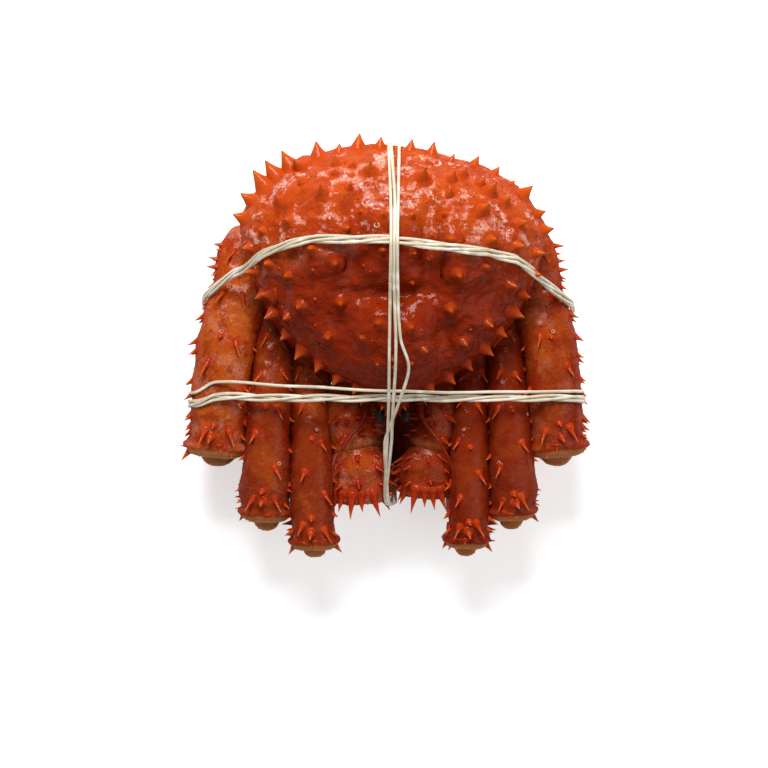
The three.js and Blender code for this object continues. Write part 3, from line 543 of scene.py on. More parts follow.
class ShellTree(GeometryTree):
    """Roughens a plate, sets its spines and strews its grains."""

    FORMS = ("spine points", "spine", "stub points", "stub", "grain form")
    LENGTHS = ("lump", "lump_size", "wart", "gap", "grain")

    def __init__(self) -> None:
        """Builds the tree."""
        kinds = {**dict.fromkeys(self.FORMS, "Object"), **dict.fromkeys(self.LENGTHS, "Float")}
        super().__init__("shell_plate", {**kinds, "seed": "Int", "material": "Material"})
        i = self.inputs
        lift = self.plus(self.swelling(1.0, i["lump"]), self.swelling(4.0, i["wart"]))
        normal = self.out("GeometryNodeInputNormal")
        offset = self.out("ShaderNodeVectorMath", {0: normal, "Scale": lift}, operation="SCALE")
        skin = self.out("GeometryNodeSetPosition", {"Geometry": i["Geometry"], "Offset": offset})
        spread = self.add("GeometryNodeDistributePointsOnFaces", {
            "Mesh": skin, "Distance Min": i["gap"], "Density Max": 4e6, "Seed": i["seed"],
            "Density Factor": self.rest(self.named("bare")),
        }, distribute_method="POISSON").outputs
        size = self.add("FunctionNodeRandomValue", {2: 0.55, 3: 1.5, "Seed": i["seed"]}, data_type="FLOAT").outputs[1]
        grains = self.out("GeometryNodeInstanceOnPoints", {
            "Points": spread["Points"], "Instance": self.form("grain form", True), "Rotation": spread["Rotation"],
            "Scale": self.times(size, i["grain"]),
        })
        joined = self.add("GeometryNodeJoinGeometry")
        for part in (skin, grains, self.rooted("spine"), self.rooted("stub")):
            self.tree.links.new(part, joined.inputs[0])
        self.end(joined.outputs[0])

    def form(self, name: str, whole: bool = False) -> Socket:
        """The geometry of one of the objects, as one instance if whole."""
        inputs = {"Object": self.inputs[name], "As Instance": whole}
        return self.add("GeometryNodeObjectInfo", inputs).outputs["Geometry"]

    def swelling(self, step: float, height: Socket) -> Socket:
        """Cloudy heights, as much above the skin as below it; step counts them in the size of a lump."""
        scale = self.math("DIVIDE", step, self.inputs["lump_size"])
        noise = self.noise(self.out("GeometryNodeInputPosition"), scale, 2.0, 0.5)
        return self.times(self.math("SUBTRACT", noise, 0.5), height)

    def rooted(self, form: str) -> Socket:
        """A form on each of its points, turned and sized by what the point carries.

        Args:
            form: spine or stub.

        Returns:
            The instances.
        """
        aim, girth = self.named("aim", "FLOAT_VECTOR"), self.named("girth")
        return self.out("GeometryNodeInstanceOnPoints", {
            "Points": self.form(f"{form} points"), "Instance": self.form(form, True),
            "Rotation": self.out("FunctionNodeAlignRotationToVector", {"Vector": aim}, axis="Z"),
            "Scale": self.vector(girth, girth, self.named("length")),
        })


class StrandTree(GeometryTree):
    """Sweeps flat strands of fibre along curves."""

    SIDES = 10

    def __init__(self) -> None:
        """Builds the tree."""
        super().__init__("fibre_strands", {"width": "Float", "thickness": "Float", "material": "Material"})
        i = self.inputs
        spline = self.add("GeometryNodeSplineParameter").outputs
        lines = self.store(i["Geometry"], "along", spline["Length"])
        ring = self.out("GeometryNodeCurvePrimitiveCircle", {"Resolution": self.SIDES, "Radius": 0.5})
        size = self.vector(i["width"], i["thickness"], 1.0)
        ring = self.out("GeometryNodeTransform", {"Geometry": ring, "Scale": size})
        ring = self.store(ring, "around", spline["Factor"])
        swept = self.out("GeometryNodeCurveToMesh", {"Curve": lines, "Profile Curve": ring, "Fill Caps": True})
        self.end(self.out("GeometryNodeSetShadeSmooth", {"Geometry": swept}))


# Meshes


def linked(name: str, data: bpy.types.ID) -> Piece:
    """A new object in the scene.

    Args:
        name: its name.
        data: its mesh, curves, lamp or camera.

    Returns:
        The object.
    """
    obj = bpy.data.objects.new(name, data)
    bpy.context.scene.collection.objects.link(obj)
    return obj


def mesh_object(name: str, points: Array, faces: list, values: dict[str, Array] | None = None) -> Piece:
    """An object with a mesh of its own.

    Args:
        name: the object's name.
        points: the corners, in metres.
        faces: corner numbers of each face.
        values: numbers or vectors that the corners carry, by name.

    Returns:
        The object, linked to the scene.
    """
    mesh = bpy.data.meshes.new(name)
    mesh.from_pydata(np.asarray(points, float).tolist(), [], faces)
    for key, data in (values or {}).items():
        data = np.asarray(data, np.float32)
        kind, entry = ("FLOAT_VECTOR", "vector") if data.ndim == 2 else ("FLOAT", "value")
        mesh.attributes.new(key, kind, "POINT").data.foreach_set(entry, data.ravel())
    mesh.shade_smooth()
    return linked(name, mesh)


def ring_faces(rings: int, sides: int) -> list[tuple[int, ...]]:
    """Faces between neighbouring rings of corners."""
    pairs = [(a + k, a + (k + 1) % sides) for a in range(0, (rings - 1) * sides, sides) for k in range(sides)]
    return [(j, k, k + sides, j + sides) for j, k in pairs]


def skin_faces(rings: int, sides: int) -> list[tuple[int, ...]]:
    """Faces over rings of corners, closed by a pole at each end.

    Args:
        rings: how many rings there are.
        sides: how many corners each has.

    Returns:
        Corner numbers; the poles come after the rings.
    """
    start, last = rings * sides, (rings - 1) * sides
    near = [(start, (k + 1) % sides, k) for k in range(sides)]
    far = [(start + 1, last + k, last + (k + 1) % sides) for k in range(sides)]
    return ring_faces(rings, sides) + near + far


def face_out(points: Array, faces: list[tuple[int, ...]]) -> list[tuple[int, ...]]:
    """Turns the faces of a closed skin round if they point inwards.

    Args:
        points: the corners.
        faces: corner numbers of each face.

    Returns:
        The faces, pointing outwards.
    """
    arms = points - points.mean(axis=0)
    fans = np.array([(f[0], f[k], f[k + 1]) for f in faces for k in range(1, len(f) - 1)]).T
    a, b, c = (arms[corner] for corner in fans)
    return faces if (a * np.cross(b, c)).sum() > 0 else [tuple(reversed(f)) for f in faces]


@dataclass
class Skin:
    """A closed skin in the crab's millimetres."""

    points: Array
    faces: list[tuple[int, ...]]
    values: dict[str, Array] = field(default_factory=dict)

    def joined(self, other: "Skin") -> "Skin":
        """Both skins as one, with the values that both carry."""
        faces = self.faces + [tuple(i + len(self.points) for i in f) for f in other.faces]
        values = {key: np.concatenate([self.values[key], other.values[key]]) for key in self.values}
        return Skin(np.vstack([self.points, other.points]), faces, values)


@dataclass
class Spine:
    """A spine: its foot, its direction and length, the half width of its foot, how dark the shell is there by its
    tone and by painted shade, its mound.
    """

    point: Array
    aim: Array
    length: float
    girth: float
    zone: float = 0.0
    mound: float = 1.0

    def __post_init__(self) -> None:
        """Makes arrays of the foot and of the direction, which gets length 1."""
        self.point = np.asarray(self.point, float)
        self.aim = unit(np.asarray(self.aim, float))


class Spines(list[Spine]):
    """The spines of one plate."""

    # A spine of this length has the usual mound, and no mound is higher than so many times that
    USUAL_LENGTH = 9
    HIGHEST = 1.25
    # Where the mound and the blush fade, in half widths of the foot
    MOUND_REACH = 1.25
    BLUSH_REACH = 1.9

    def swell(self, skin: Skin, mound: float) -> None:
        """Raises the skin into a mound round the foot of each spine, lifts the feet and marks a blush there.

        Args:
            skin: the skin that the spines stand on.
            mound: how high the usual mound is.
        """
        push = np.zeros_like(skin.points)
        total, blush = np.zeros((2, len(skin.points)))
        for spine in self:
            away = np.linalg.norm(skin.points - spine.point, axis=1) / spine.girth
            rise = mound * spine.mound * min(spine.length / self.USUAL_LENGTH, self.HIGHEST)
            weight = bell(away, 0, self.MOUND_REACH)
            push += spine.aim * (weight * rise)[:, None]
            total += weight
            blush = np.maximum(blush, bell(away, 0, self.BLUSH_REACH))
            spine.point = spine.point + spine.aim * rise * 0.5
        skin.points = skin.points + push / np.maximum(total, 1)[:, None]
        skin.values["blush"] = blush

    def object(self, name: str, plan: Plan) -> Piece:
        """The feet as loose points that carry the sizes.

        Args:
            name: the object's name.
            plan: where the crab lies.

        Returns:
            The object.
        """
        points, aims = (np.array([getattr(s, key) for s in self]).reshape(-1, 3) for key in ("point", "aim"))
        scales = {"length": MM, "girth": MM, "zone": 1.0}
        sizes = {key: np.array([getattr(s, key) * scale for s in self]) for key, scale in scales.items()}
        return mesh_object(name, plan.metres(points), [], {"aim": aims, **sizes})


class SpineForms:
    """What the shell tree repeats: a spine and a grain, 1 high and 1 in half width, and the ring of a lost spine."""

    SPINE = (
        (-0.30, 1.35), (-0.02, 1.0), (0.04, 0.86), (0.10, 0.74), (0.18, 0.62), (0.30, 0.49), (0.44, 0.375),
        (0.58, 0.275), (0.72, 0.185), (0.84, 0.115), (0.93, 0.065), (0.98, 0.03),
    )
    GRAIN = ((0.0, 1.0), (0.42, 0.78))
    STUB = ((-0.5, 1.15), (0.15, 0.95), (0.45, 0.85), (0.55, 0.7), (0.45, 0.52), (0.1, 0.42))
    def __init__(self) -> None:
        """Builds the three."""
        self.spine = self.turned("spine_form", self.SPINE, "tip", sides=11, bend=0.14)
        self.grain = self.turned("grain_form", self.GRAIN, "grain", sides=5)
        self.stub = self.turned("stub_form", self.STUB, "scar", sides=12, top=0.0)

    @staticmethod
    def turned(
        name: str, profile: tuple[Place, ...], mark: str, sides: int, bend: float = 0.0, top: float = 1.0,
    ) -> Piece:
        """A form of revolution that leans over a little as it rises.

        Args:
            name: its name.
            profile: heights and half widths, from the foot up.
            mark: the name of the value that it carries, which is the height of each point.
            sides: how many sides it has.
            bend: how far its top leans.
            top: the height at which it closes.

        Returns:
            The form, hidden.
        """
        turn = np.arange(sides) / sides * 2 * math.pi
        points, tips = [], []
        for height, radius in profile:
            lean = bend * max(height, 0.0) ** 2
            points += [(radius * math.cos(a) + lean, radius * math.sin(a), height) for a in turn]
            tips += [max(height, 0.0)] * sides
        points.append((bend, 0.0, top))
        tips.append(top)
        last = (len(profile) - 1) * sides
        faces = ring_faces(len(profile), sides)
        faces += [(last + k, last + (k + 1) % sides, len(points) - 1) for k in range(sides)]
        faces.append(tuple(reversed(range(sides))))
        form = mesh_object(name, np.array(points), faces, {mark: np.array(tips), "blush": np.ones(len(points))})
        form.hide_render = True
        return form


# The crab's shape: the same stations and sizes as its solids


def mirrored(rows: tuple, sign: int) -> Array:
    """The stations of a limb, with their x turned to the right (-1) or the left (1)."""
    return np.array(rows, float) * [sign, 1, 1, 1, 1]


class Limb:
    """A long rounded body along a path: stations give its centre and its half sizes across and through."""

    def __init__(
        self, stations: Array, across: Array, squareness: float = 2.3, round_end: float = 0.45,
        round_start: float | None = None,
    ) -> None:
        """Keeps the stations.

        Args:
            stations: rows of x, y, z, half width and half depth in millimetres.
            across: the axis that its width is measured along.
            squareness: 2 for an oval section, more for a squarer one.
            round_end: how far each end bulges, as a share of its smaller half size.
            round_start: the same for its start alone, where that differs.
        """
        table = np.asarray(stations, float)
        self.path = Path(table[:, :3])
        self.places = np.linspace(0, 1, len(table))
        self.wides, self.deeps = table[:, 3], table[:, 4]
        self.across = across
        self.squareness = squareness
        self.round_end = round_end
        self.round_start = round_end if round_start is None else round_start

    def frame(self, t: Array) -> tuple[Array, ...]:
        """What the limb is like at places along it.

        Args:
            t: shares of the length.

        Returns:
            Centre, direction, side, up, half width and half depth.
        """
        t = np.clip(np.atleast_1d(np.asarray(t, float)), 0, 1)
        along = self.path.tangent(t)
        side = unit(self.across - along * (along @ self.across)[:, None])
        up = np.cross(side, along)
        turned = (up[:, 2] < 0) | ((np.abs(up[:, 2]) < 0.2) & (up[:, 1] > 0))
        up[turned] *= -1
        wide, deep = (smooth_value(self.places, sizes, t) for sizes in (self.wides, self.deeps))
        return self.path.point(t), along, side, up, wide, deep

    def section(self, angle: Array) -> tuple[Array, Array, Array]:
        """Cosine, sine and reach of the rounded section at angles."""
        c, s, power = np.cos(angle), np.sin(angle), self.squareness
        return c, s, (np.abs(c) ** power + np.abs(s) ** power) ** (-1 / power)

    def skin_point(self, t: float, angle: float) -> tuple[Array, Array, Array]:
        """A point of the skin, its outward direction and the limb's direction there.

        Args:
            t: the share of the length.
            angle: 0 is to the side, and a quarter turn is up.

        Returns:
            The three vectors.
        """
        centre, along, side, up, wide, deep = (v[0] for v in self.frame(t))
        c, s, reach = self.section(angle)
        point = centre + side * c * reach * wide + up * s * reach * deep
        return point, unit(side * c / wide + up * s / deep), along

    def skin(self, rings: int, sides: int, relief: Relief | None = None, cap_rings: int = 6) -> Skin:
        """The closed skin.

        Args:
            rings: how many rings lie between the two ends.
            sides: how many corners each ring has.
            relief: its relief, if it has one.
            cap_rings: how many rings round off each end.

        Returns:
            The skin, with the share of the length and how far each point faces up as values.
        """
        turn = (np.arange(cap_rings) + 1) / (cap_rings + 1) * UP
        ts = np.concatenate([np.zeros(cap_rings), np.linspace(0, 1, rings), np.ones(cap_rings)])
        push = np.concatenate([-np.sin(turn)[::-1], np.zeros(rings), np.sin(turn)])
        shrink = np.concatenate([np.cos(turn)[::-1] ** 0.8, np.ones(rings), np.cos(turn) ** 0.8])
        centre, along, side, up, wide, deep = self.frame(ts)
        bulge = np.minimum(wide, deep) * np.where(ts < 0.5, self.round_start, self.round_end)
        centre = centre + along * (push * bulge)[:, None]
        angles = (np.arange(sides) + 0.5) / sides * 2 * math.pi
        c, s, reach = self.section(angles)
        factor = relief(ts[:, None], angles[None, :]) if relief else 1.0
        factor = factor * reach[None, :] * shrink[:, None]
        points = (
            centre[:, None, :]
            + side[:, None, :] * (c * factor * wide[:, None])[:, :, None]
            + up[:, None, :] * (s * factor * deep[:, None])[:, :, None]
        ).reshape(-1, 3)
        poles = [centre[0] - along[0] * bulge[0] * 0.04, centre[-1] + along[-1] * bulge[-1] * 0.04]
        points = np.vstack([points, *poles])
        share = np.concatenate([np.repeat(ts, sides), [0.0, 1.0]])
        top = np.concatenate([np.tile(s, len(ts)), [0.3, 0.3]])
        return Skin(points, face_out(points, skin_faces(len(ts), sides)), {"share": share, "top": top})


@dataclass(frozen=True)
class Side:
    """How one side differs from the other."""

    name: str
    sign: int
    spread: float
    reach: float
    claw: float
    shade: float

    def facing(self, angle: float) -> float:
        """The angle on a limb whose side axis is +X, so that 0 faces outwards."""
        return angle if self.sign > 0 else math.pi - angle


SIDES = (Side("right", -1, 1.03, 1.0, 1.0, 0.0), Side("left", 1, 0.965, 0.985, 0.9, 0.4))


@dataclass(frozen=True)
class Row:
    """A row of spines along a limb."""

    angle: float
    start: float
    stop: float
    count: int
    length: float
    lean: float = 0.25
    girth: float | None = None


def foot_width(length: float, least: float, growth: float, most: float) -> float:
    """The half width of a spine's foot, which grows with its length up to a most."""
    return min(least + length * growth, most)


@dataclass
class Maker:
    """What makes the pieces: the trees, the forms, the finishes, the random numbers and the skins made so far."""

    plan: Plan
    tree: ShellTree
    forms: SpineForms
    materials: dict[Slot, bpy.types.Material]
    random: np.random.Generator
    cores: dict[str, Array] = field(default_factory=dict)

    # The usual sizes of a plate, in millimetres
    USUAL = {"mound": 0.9, "lump": 1.2, "lump_size": 11.0, "wart": 0.5, "gap": 2.6, "grain": 0.42}
    # How far the spines of a row stray: along it in shares, round it in radians, in lean and in length; their feet
    STRAY_ALONG = 0.018
    STRAY_ROUND = 0.12
    STRAY_LEAN = 0.1
    LENGTHS = (0.75, 1.2)
    FOOT = (1.4, 0.26, 4.4)

    def plate(
        self, name: str, node: str, slot: Slot, skin: Skin, spines: Spines | None = None,
        stubs: Spines | None = None, **sizes: float,
    ) -> None:
        """Makes one shell plate.

        Args:
            name: the piece's name.
            node: the solid that it stands for.
            slot: its finish.
            skin: its smooth skin.
            spines: its spines.
            stubs: the rings that its lost spines left.
            sizes: its sizes in millimetres, where they differ from the usual ones.
        """
        sizes = {**self.USUAL, **sizes}
        spines, stubs = spines or Spines(), stubs or Spines()
        spines.swell(skin, sizes["mound"])
        self.cores.setdefault(node, skin.points)
        base = mesh_object("base_skin", self.plan.metres(skin.points), skin.faces, skin.values)
        feet, rings = (marks.object("feet", self.plan) for marks in (spines, stubs))
        forms = (feet, self.forms.spine, rings, self.forms.stub, self.forms.grain)
        piece = self.tree.apply(base, name, {
            **dict(zip(ShellTree.FORMS, forms)),
            **{key: sizes[key] * MM for key in ShellTree.LENGTHS},
            "seed": int(self.random.integers(1, 9999)),
            "material": self.materials[slot],
        })
        bpy.data.objects.remove(feet)
        bpy.data.objects.remove(rings)
        self.ride(piece, slot, node)

    def ride(self, piece: Piece, slot: Slot, *nodes: str) -> None:
        """Ties a finished piece to the crab's body and hides the solids that it stands for.

        Args:
            piece: the piece.
            slot: its finish; not used.
            nodes: the solids.
        """
        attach(piece, "root")
        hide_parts(*nodes)
        log.info("%s: %d faces", piece.name, len(piece.data.polygons))

    def stray(self, most: float) -> float:
        """A random number, at most so far from 0."""
        return self.random.uniform(-most, most)

    def row(self, limb: Limb, side: Side, row: Row, zone: float = 0.0) -> Spines:
        """A row of spines on a limb, each a little off its place.

        Args:
            limb: what they stand on.
            side: the side of the crab.
            row: the row.
            zone: how dark the shell is there, by its tone and by painted shade.

        Returns:
            The spines.
        """
        spines = Spines()
        for i in range(row.count):
            share = i / (row.count - 1) if row.count > 1 else 0.5
            t = row.start + (row.stop - row.start) * share + self.stray(self.STRAY_ALONG)
            point, out, along = limb.skin_point(t, side.facing(row.angle) + self.stray(self.STRAY_ROUND))
            length = row.length * self.random.uniform(*self.LENGTHS)
            girth = row.girth or foot_width(length, *self.FOOT)
            aim = out + along * (row.lean + self.stray(self.STRAY_LEAN))
            spines.append(Spine(point - out * (0.5 + 0.5 * max(girth - 3, 0)), aim, length, girth, zone))
        return spines


@dataclass
class Carapace:
    """The shell over the body: a rounded shield with swollen regions, grooves between them and a spiny rim."""

    stations: Array = field(default_factory=lambda: np.array([
        # y, half width, crest, rim, underside
        [-80, 3, 84, 80, 76], [-73, 12, 89, 79, 72], [-66, 22, 94, 78, 69], [-58, 36, 99, 77, 68],
        [-45, 55, 106, 76, 67], [-28, 71, 112, 75, 67], [-8, 83, 116, 74, 67], [12, 90, 119, 74, 67],
        [30, 92, 120, 74, 67], [48, 86, 115, 74, 67], [62, 72, 106, 75, 67], [72, 54, 96, 76, 68],
        [78, 36, 86, 77, 69],
    ], float))
    relief: tuple = (
        # x, y, half width and half length, rise; the same on both sides of the midline
        (0, -42, 24, 22, 8), (0, 24, 17, 22, 4), (48, 16, 24, 40, 6), (23, 22, 7, 34, -6), (0, -9, 26, 7, -8),
        (33, -26, 9, 18, -7),
    )
    flatness: float = 2.3
    roundness: float = 1.75
    end_bulge: float = 2.5
    # The right shoulder lies a little further forward than the left one: millimetres for each one out from the middle
    slant: float = 0.045
    # How far the rim lies further in among the spines of the rear left
    hollow: float = 3.2
    # Tips of the spines along the rear rim, as x and y, from the crab's right to its left
    rear_tips: tuple = (
        (-98, 40.5), (-93.5, 53), (-87, 67), (-79.5, 73), (-69.5, 79), (-48.5, 85), (-34, 84), (-22, 90), (-8.5, 88),
        (10.5, 87), (24, 86), (36, 80), (51, 79), (64, 73), (74, 65), (84.5, 62), (93, 47), (98, 36),
    )
    # Spines on the shell itself: x and y of the tip, and the length
    knobs: tuple = (
        (-60.8, 72.4, 13), (-35.9, 74.2, 9), (-35.9, 66, 8), (-14.6, 69.3, 13), (-24.9, 71.1, 7), (-26.8, 56.5, 9),
        (-44.4, 54.7, 13), (-71.7, 49.9, 10), (-65.7, 35.3, 9), (-6.1, 38.3, 6), (-26.8, 29.8, 7), (-50.5, 17, 9),
        (-6.7, 15.8, 6), (-78.4, 9.1, 9), (-65.7, 1.2, 8), (-84.5, -9.1, 8), (-34.7, 7.9, 7), (-58.4, -17.6, 9),
        (-66.9, -24, 8), (-32.2, -15.8, 9), (-9.7, -27.4, 8), (-20, 40, 5), (-57, 60, 8), (-82, 30, 8),
        (18.2, 66.9, 14), (35.9, 66.3, 11), (43.2, 70, 10), (54.1, 63.2, 9), (34, 54, 9), (60.8, 60, 13),
        (69.9, 53, 10), (55.9, 46, 13), (11.6, 38.3, 6), (12.8, 14.6, 6), (33.4, 23.7, 8), (60.8, 24.9, 9),
        (56.5, 7.3, 8), (38.9, 0.6, 11), (10.9, -29.8, 8), (34, -20.1, 12), (59.6, -28.6, 9), (78, 22, 10),
        (80, 38, 10), (74, -4, 9), (30, 40, 6), (-20, -36, 6), (20, -44, 6), (-40, -36, 8), (44, -40, 8),
    )
    small_rows: tuple = (
        # ends in plan, how many and how long; the same on both sides
        ((22, 60), (20, -6), 5, 3.5), ((48, 38), (44, -26), 5, 4), ((66, 40), (66, -30), 5, 4),
        ((0, 58), (0, -50), 6, 3.5), ((14, 2), (12, -52), 4, 4),
    )
    # The rings of lost spines: x, y and half width
    scars: tuple = ((-9.7, 31.5, 2.2), (-50.0, 17.0, 2.0), (44.0, -1.5, 2.4), (62.5, 47, 1.8), (-62.0, 50.0, 1.6))
    # The rim towards the front: the lengths of its spines from the widest point forward
    front_lengths: tuple = (11, 12, 10, 12, 10, 11, 9, 10, 9)
    margin_inset: float = 0.93
    # The spines of the beak: foot, direction, length and half width; the first two on both sides
    beak: tuple = (
        ((5, -74, 86), (0.3, -0.6, 0.8), 8, 3), ((17, -68, 82), (0.4, -1, 0.25), 8, 3),
        ((0, -79, 81), (0, -1, 0.25), 9, 3.4),
    )

    # The dark front, partly the shell's deeper red and partly painted shade: where it ends in the middle, how that
    # end bows forward to the sides, and how far it fades
    dark_end: float = 44
    dark_bow: float = 0.0036
    dark_fade: float = 30
    # The feet of the spines on the shell: how deep they stand in it, how near to the rim they may be, how wide they
    # are, and the least rise of a spine as a share of its length
    sink: float = 0.4
    nearest: float = 0.96
    nearest_knob: float = 0.9
    rearmost_knob: float = 71
    small_foot: tuple = (1.8, 0.5, 8.6)
    knob_foot: tuple = (1.8, 0.56, 9.2)
    least_rise: float = 0.45

    def column(self, number: int, y: Array) -> Array:
        """One column of the stations at places along the shell."""
        return smooth_value(self.stations[:, 0], self.stations[:, number], y)

    def height(self, x: Array, y: Array) -> Array:
        """Height of the shell over points of the plan.

        Args:
            x: how far out they are.
            y: how far back they are.

        Returns:
            The heights.
        """
        x, y = np.asarray(x, float), np.asarray(y, float)
        half, crest, rim = (self.column(k, y) for k in (1, 2, 3))
        arch = (1 - np.minimum(np.abs(x) / half, 1) ** self.flatness) ** (1 / self.roundness)
        swell = sum(
            rise * np.exp(-(((np.abs(x) - cx) / rx) ** 2) - ((y - cy) / ry) ** 2)
            for cx, cy, rx, ry, rise in self.relief
        )
        return rim + (crest - rim + swell) * arch

    def normal(self, x: float, y: float, step: float = 3.0) -> Array:
        """Outward direction over a point of the plan.

        Args:
            x: how far out it is.
            y: how far back it is.
            step: how far to each side the slope is taken.

        Returns:
            The direction.
        """
        slope_x = (self.height(x + step, y) - self.height(x - step, y)) / (2 * step)
        slope_y = (self.height(x, y + step) - self.height(x, y - step)) / (2 * step)
        return unit(np.array([-float(slope_x), -float(slope_y), 1.0]))

    def rim_line(self, low: float, high: float) -> Array:
        """Points along the rim in plan, on the +X side, between two places along the shell."""
        y = np.linspace(high, low, 80)
        return np.column_stack([self.column(1, y), y])

    def zone(self, x: Array, y: Array) -> Array:
        """How far a place lies in the dark front of the shell, partly its deeper red and partly painted shade: 0 at
        the rear, 1 in front.
        """
        return np.clip((self.dark_end - self.dark_bow * x**2 - y) / self.dark_fade, 0, 1)

    def foot(self, x: float, y: float) -> Array:
        """A point a little below the shell's surface."""
        return np.array([x, y, float(self.height(x, y)) - self.sink])

    def spine_at(self, x: float, y: float, length: float, mound: float = 1.0) -> Spine:
        """A spine whose foot stands at a point of the plan.

        Args:
            x: how far out it is.
            y: how far back it is.
            length: its length.
            mound: its mound's share of the usual one.

        Returns:
            The spine.
        """
        half = float(self.column(1, y)) * self.nearest
        x = min(max(x, -half), half)
        aim, girth = self.normal(x, y) + AXIS_Z * 0.12, foot_width(length, *self.small_foot)
        return Spine(self.foot(x, y), aim, length * 0.86, girth, float(self.zone(x, y)), mound)

    def spine_to(self, x: float, y: float, length: float) -> Spine:
        """A spine on the shell whose tip is seen at a point of the plan.

        Args:
            x: how far out its tip is.
            y: how far back its tip is.
            length: its length.

        Returns:
            The spine.
        """
        tip = np.array([x, y])
        foot = tip - self.normal(x, y)[:2] * length * 0.8
        while foot[1] > self.rearmost_knob or abs(foot[0]) > self.nearest_knob * float(self.column(1, foot[1])):
            foot = foot * 0.97
        away = tip - foot
        rise = math.sqrt(max(length**2 - float(away @ away), (self.least_rise * length) ** 2))
        girth = foot_width(length, *self.knob_foot)
        return Spine(self.foot(*foot), [*away, rise], length * 0.9, girth, float(self.zone(x, y)))

    def rim_spine(self, x: float, y: float) -> Spine:
        """A spine on the rear rim that ends at a point of the plan.

        Args:
            x: how far out its tip is.
            y: how far back its tip is.

        Returns:
            The spine.
        """
        # The rear rim itself is nearly straight, and its feet lie right in front of the tips
        line = np.vstack([self.rim_line(-10, 78), [[20, 79.5], [0, 80.5]]])
        near = line[np.linalg.norm(line - [abs(x), y], axis=1).argmin()]
        foot = np.array([math.copysign(near[0] * 0.955, x), near[1] - (3 if near[1] > 55 else 1)])
        if abs(x) < 36:
            foot[0] = x * 0.97
        level = min(float(self.height(foot[0], min(foot[1], 77))), 86) - 2.5
        away = np.array([x, y]) - foot
        length = float(np.linalg.norm(away)) * 1.03
        return Spine([*foot, level], [*away, 0.26 * length], length * 0.9, 3.2 + length * 0.6, 0.0, 0.9)

    def spines(self, maker: Maker) -> Spines:
        """All the spines of the shell.

        Args:
            maker: what draws the random numbers.

        Returns:
            The spines.
        """
        found = Spines(self.rim_spine(*tip) for tip in self.rear_tips)
        found += [self.spine_to(*knob) for knob in self.knobs]
        rim = self.rim_line(-70, 26)
        run = walked(rim)
        for sign in (-1, 1):
            for i, length in enumerate(self.front_lengths):
                at = run[-1] * (i + 0.4) / len(self.front_lengths)
                x, y = (np.interp(at, run, rim[:, k]) for k in (0, 1))
                x, y = sign * x * self.margin_inset, y * 0.985 + maker.stray(1)
                found.append(self.spine_at(x, y, length + maker.stray(1), 0.4))
            for start, stop, count, length in self.small_rows:
                for share in np.arange(count) / (count - 1):
                    x, y = (mix(a, b, share) + maker.stray(4) for a, b in zip(start, stop))
                    found.append(self.spine_at(sign * x, y, length * maker.random.uniform(0.6, 1.15)))
            for (x, y, z), (out, *ahead), length, girth in self.beak[:2]:
                found.append(Spine([sign * x, y, z], [sign * out, *ahead], length, girth, 1))
        found += [Spine(*sizes, 1) for sizes in self.beak[2:]]
        found.append(Spine([1.2, 76, 80], [0, 1, 0.1], 6, 2.2))
        return found

    def skin(self, rings: int, top: int, under: int) -> Skin:
        """The closed skin of the shell.

        Args:
            rings: how many rings lie along it.
            top: how many steps go over each ring.
            under: how many steps go under it.

        Returns:
            The skin, with how far each point lies in the dark front, partly painted shade, as a value.
        """
        y = np.linspace(self.stations[0, 0], self.stations[-1, 0], rings)
        half, rim, under_z = (self.column(k, y)[:, None] for k in (1, 3, 4))
        side = np.sin((np.arange(top + 1) / top - 0.5) * math.pi)[None, :]
        x = half * side
        grid_y = np.repeat(y[:, None], top + 1, axis=1)
        over = np.stack([x, grid_y, self.height(x, grid_y)], axis=2)
        turn = (np.arange(1, under) / under * math.pi)[None, :]
        low = rim - (rim - under_z) * np.sin(turn) ** 0.6
        below = np.stack([half * np.cos(turn), np.repeat(y[:, None], under - 1, axis=1), low], axis=2)
        body = np.concatenate([over, below], axis=1)
        caps = []
        for ring, way in ((body[0], -1), (body[-1], 1)):
            middle = ring.mean(axis=0)
            angles = np.linspace(0, UP, 7)[1:-1]
            caps.append([
                middle + (ring - middle) * math.cos(a) + AXIS_Y * way * self.end_bulge * math.sin(a) for a in angles
            ])
        rows = [*caps[0][::-1], *body, *caps[1]]
        points = np.vstack([*rows, rows[0].mean(axis=0), rows[-1].mean(axis=0)])
        faces = face_out(points, skin_faces(len(rows), body.shape[1]))
        return Skin(points, faces, {"zone": self.zone(points[:, 0], points[:, 1])})

    def lean(self, points: Array) -> Array:
        """Points of the shell with its right shoulder drawn forward."""
        return points - AXIS_Y * (self.slant * np.maximum(points[:, 0], 0) * grow(points[:, 1], -10, 50))[:, None]

    def dent(self, points: Array) -> Array:
        """How far the rim lies further in among the spines of the rear left."""
        return self.hollow * bell(points[:, 0], 33, 24) * grow(points[:, 1], 52, 20)

    def build(self, maker: Maker) -> None:
        """Makes the shell.

        Args:
            maker: what makes the pieces.
        """
        spines = self.spines(maker)
        skin = self.skin(rings=200, top=176, under=20)
        skin.values["bare"] = np.maximum(grow(skin.points[:, 2], 76, -6) * 0.9, 0.45)
        skin.points = self.lean(skin.points)
        skin.points[:, 1] -= self.dent(skin.points)
        feet = self.lean(np.array([spine.point for spine in spines]))
        for spine, foot, inward in zip(spines, feet, self.dent(feet)):
            spine.point = foot - AXIS_Y * inward
            spine.length += inward * max(float(spine.aim[1]), 0.0)
        stubs = Spines()
        for x, y, width in self.scars:
            stubs.append(Spine([x, y, float(self.height(x, y))], self.normal(x, y), 1.6, width))
        maker.plate("carapace_shell_plate", "carapace", Slot.CARAPACE, skin, spines, stubs,
                    mound=4.2, lump=4.4, lump_size=17, wart=1.5)


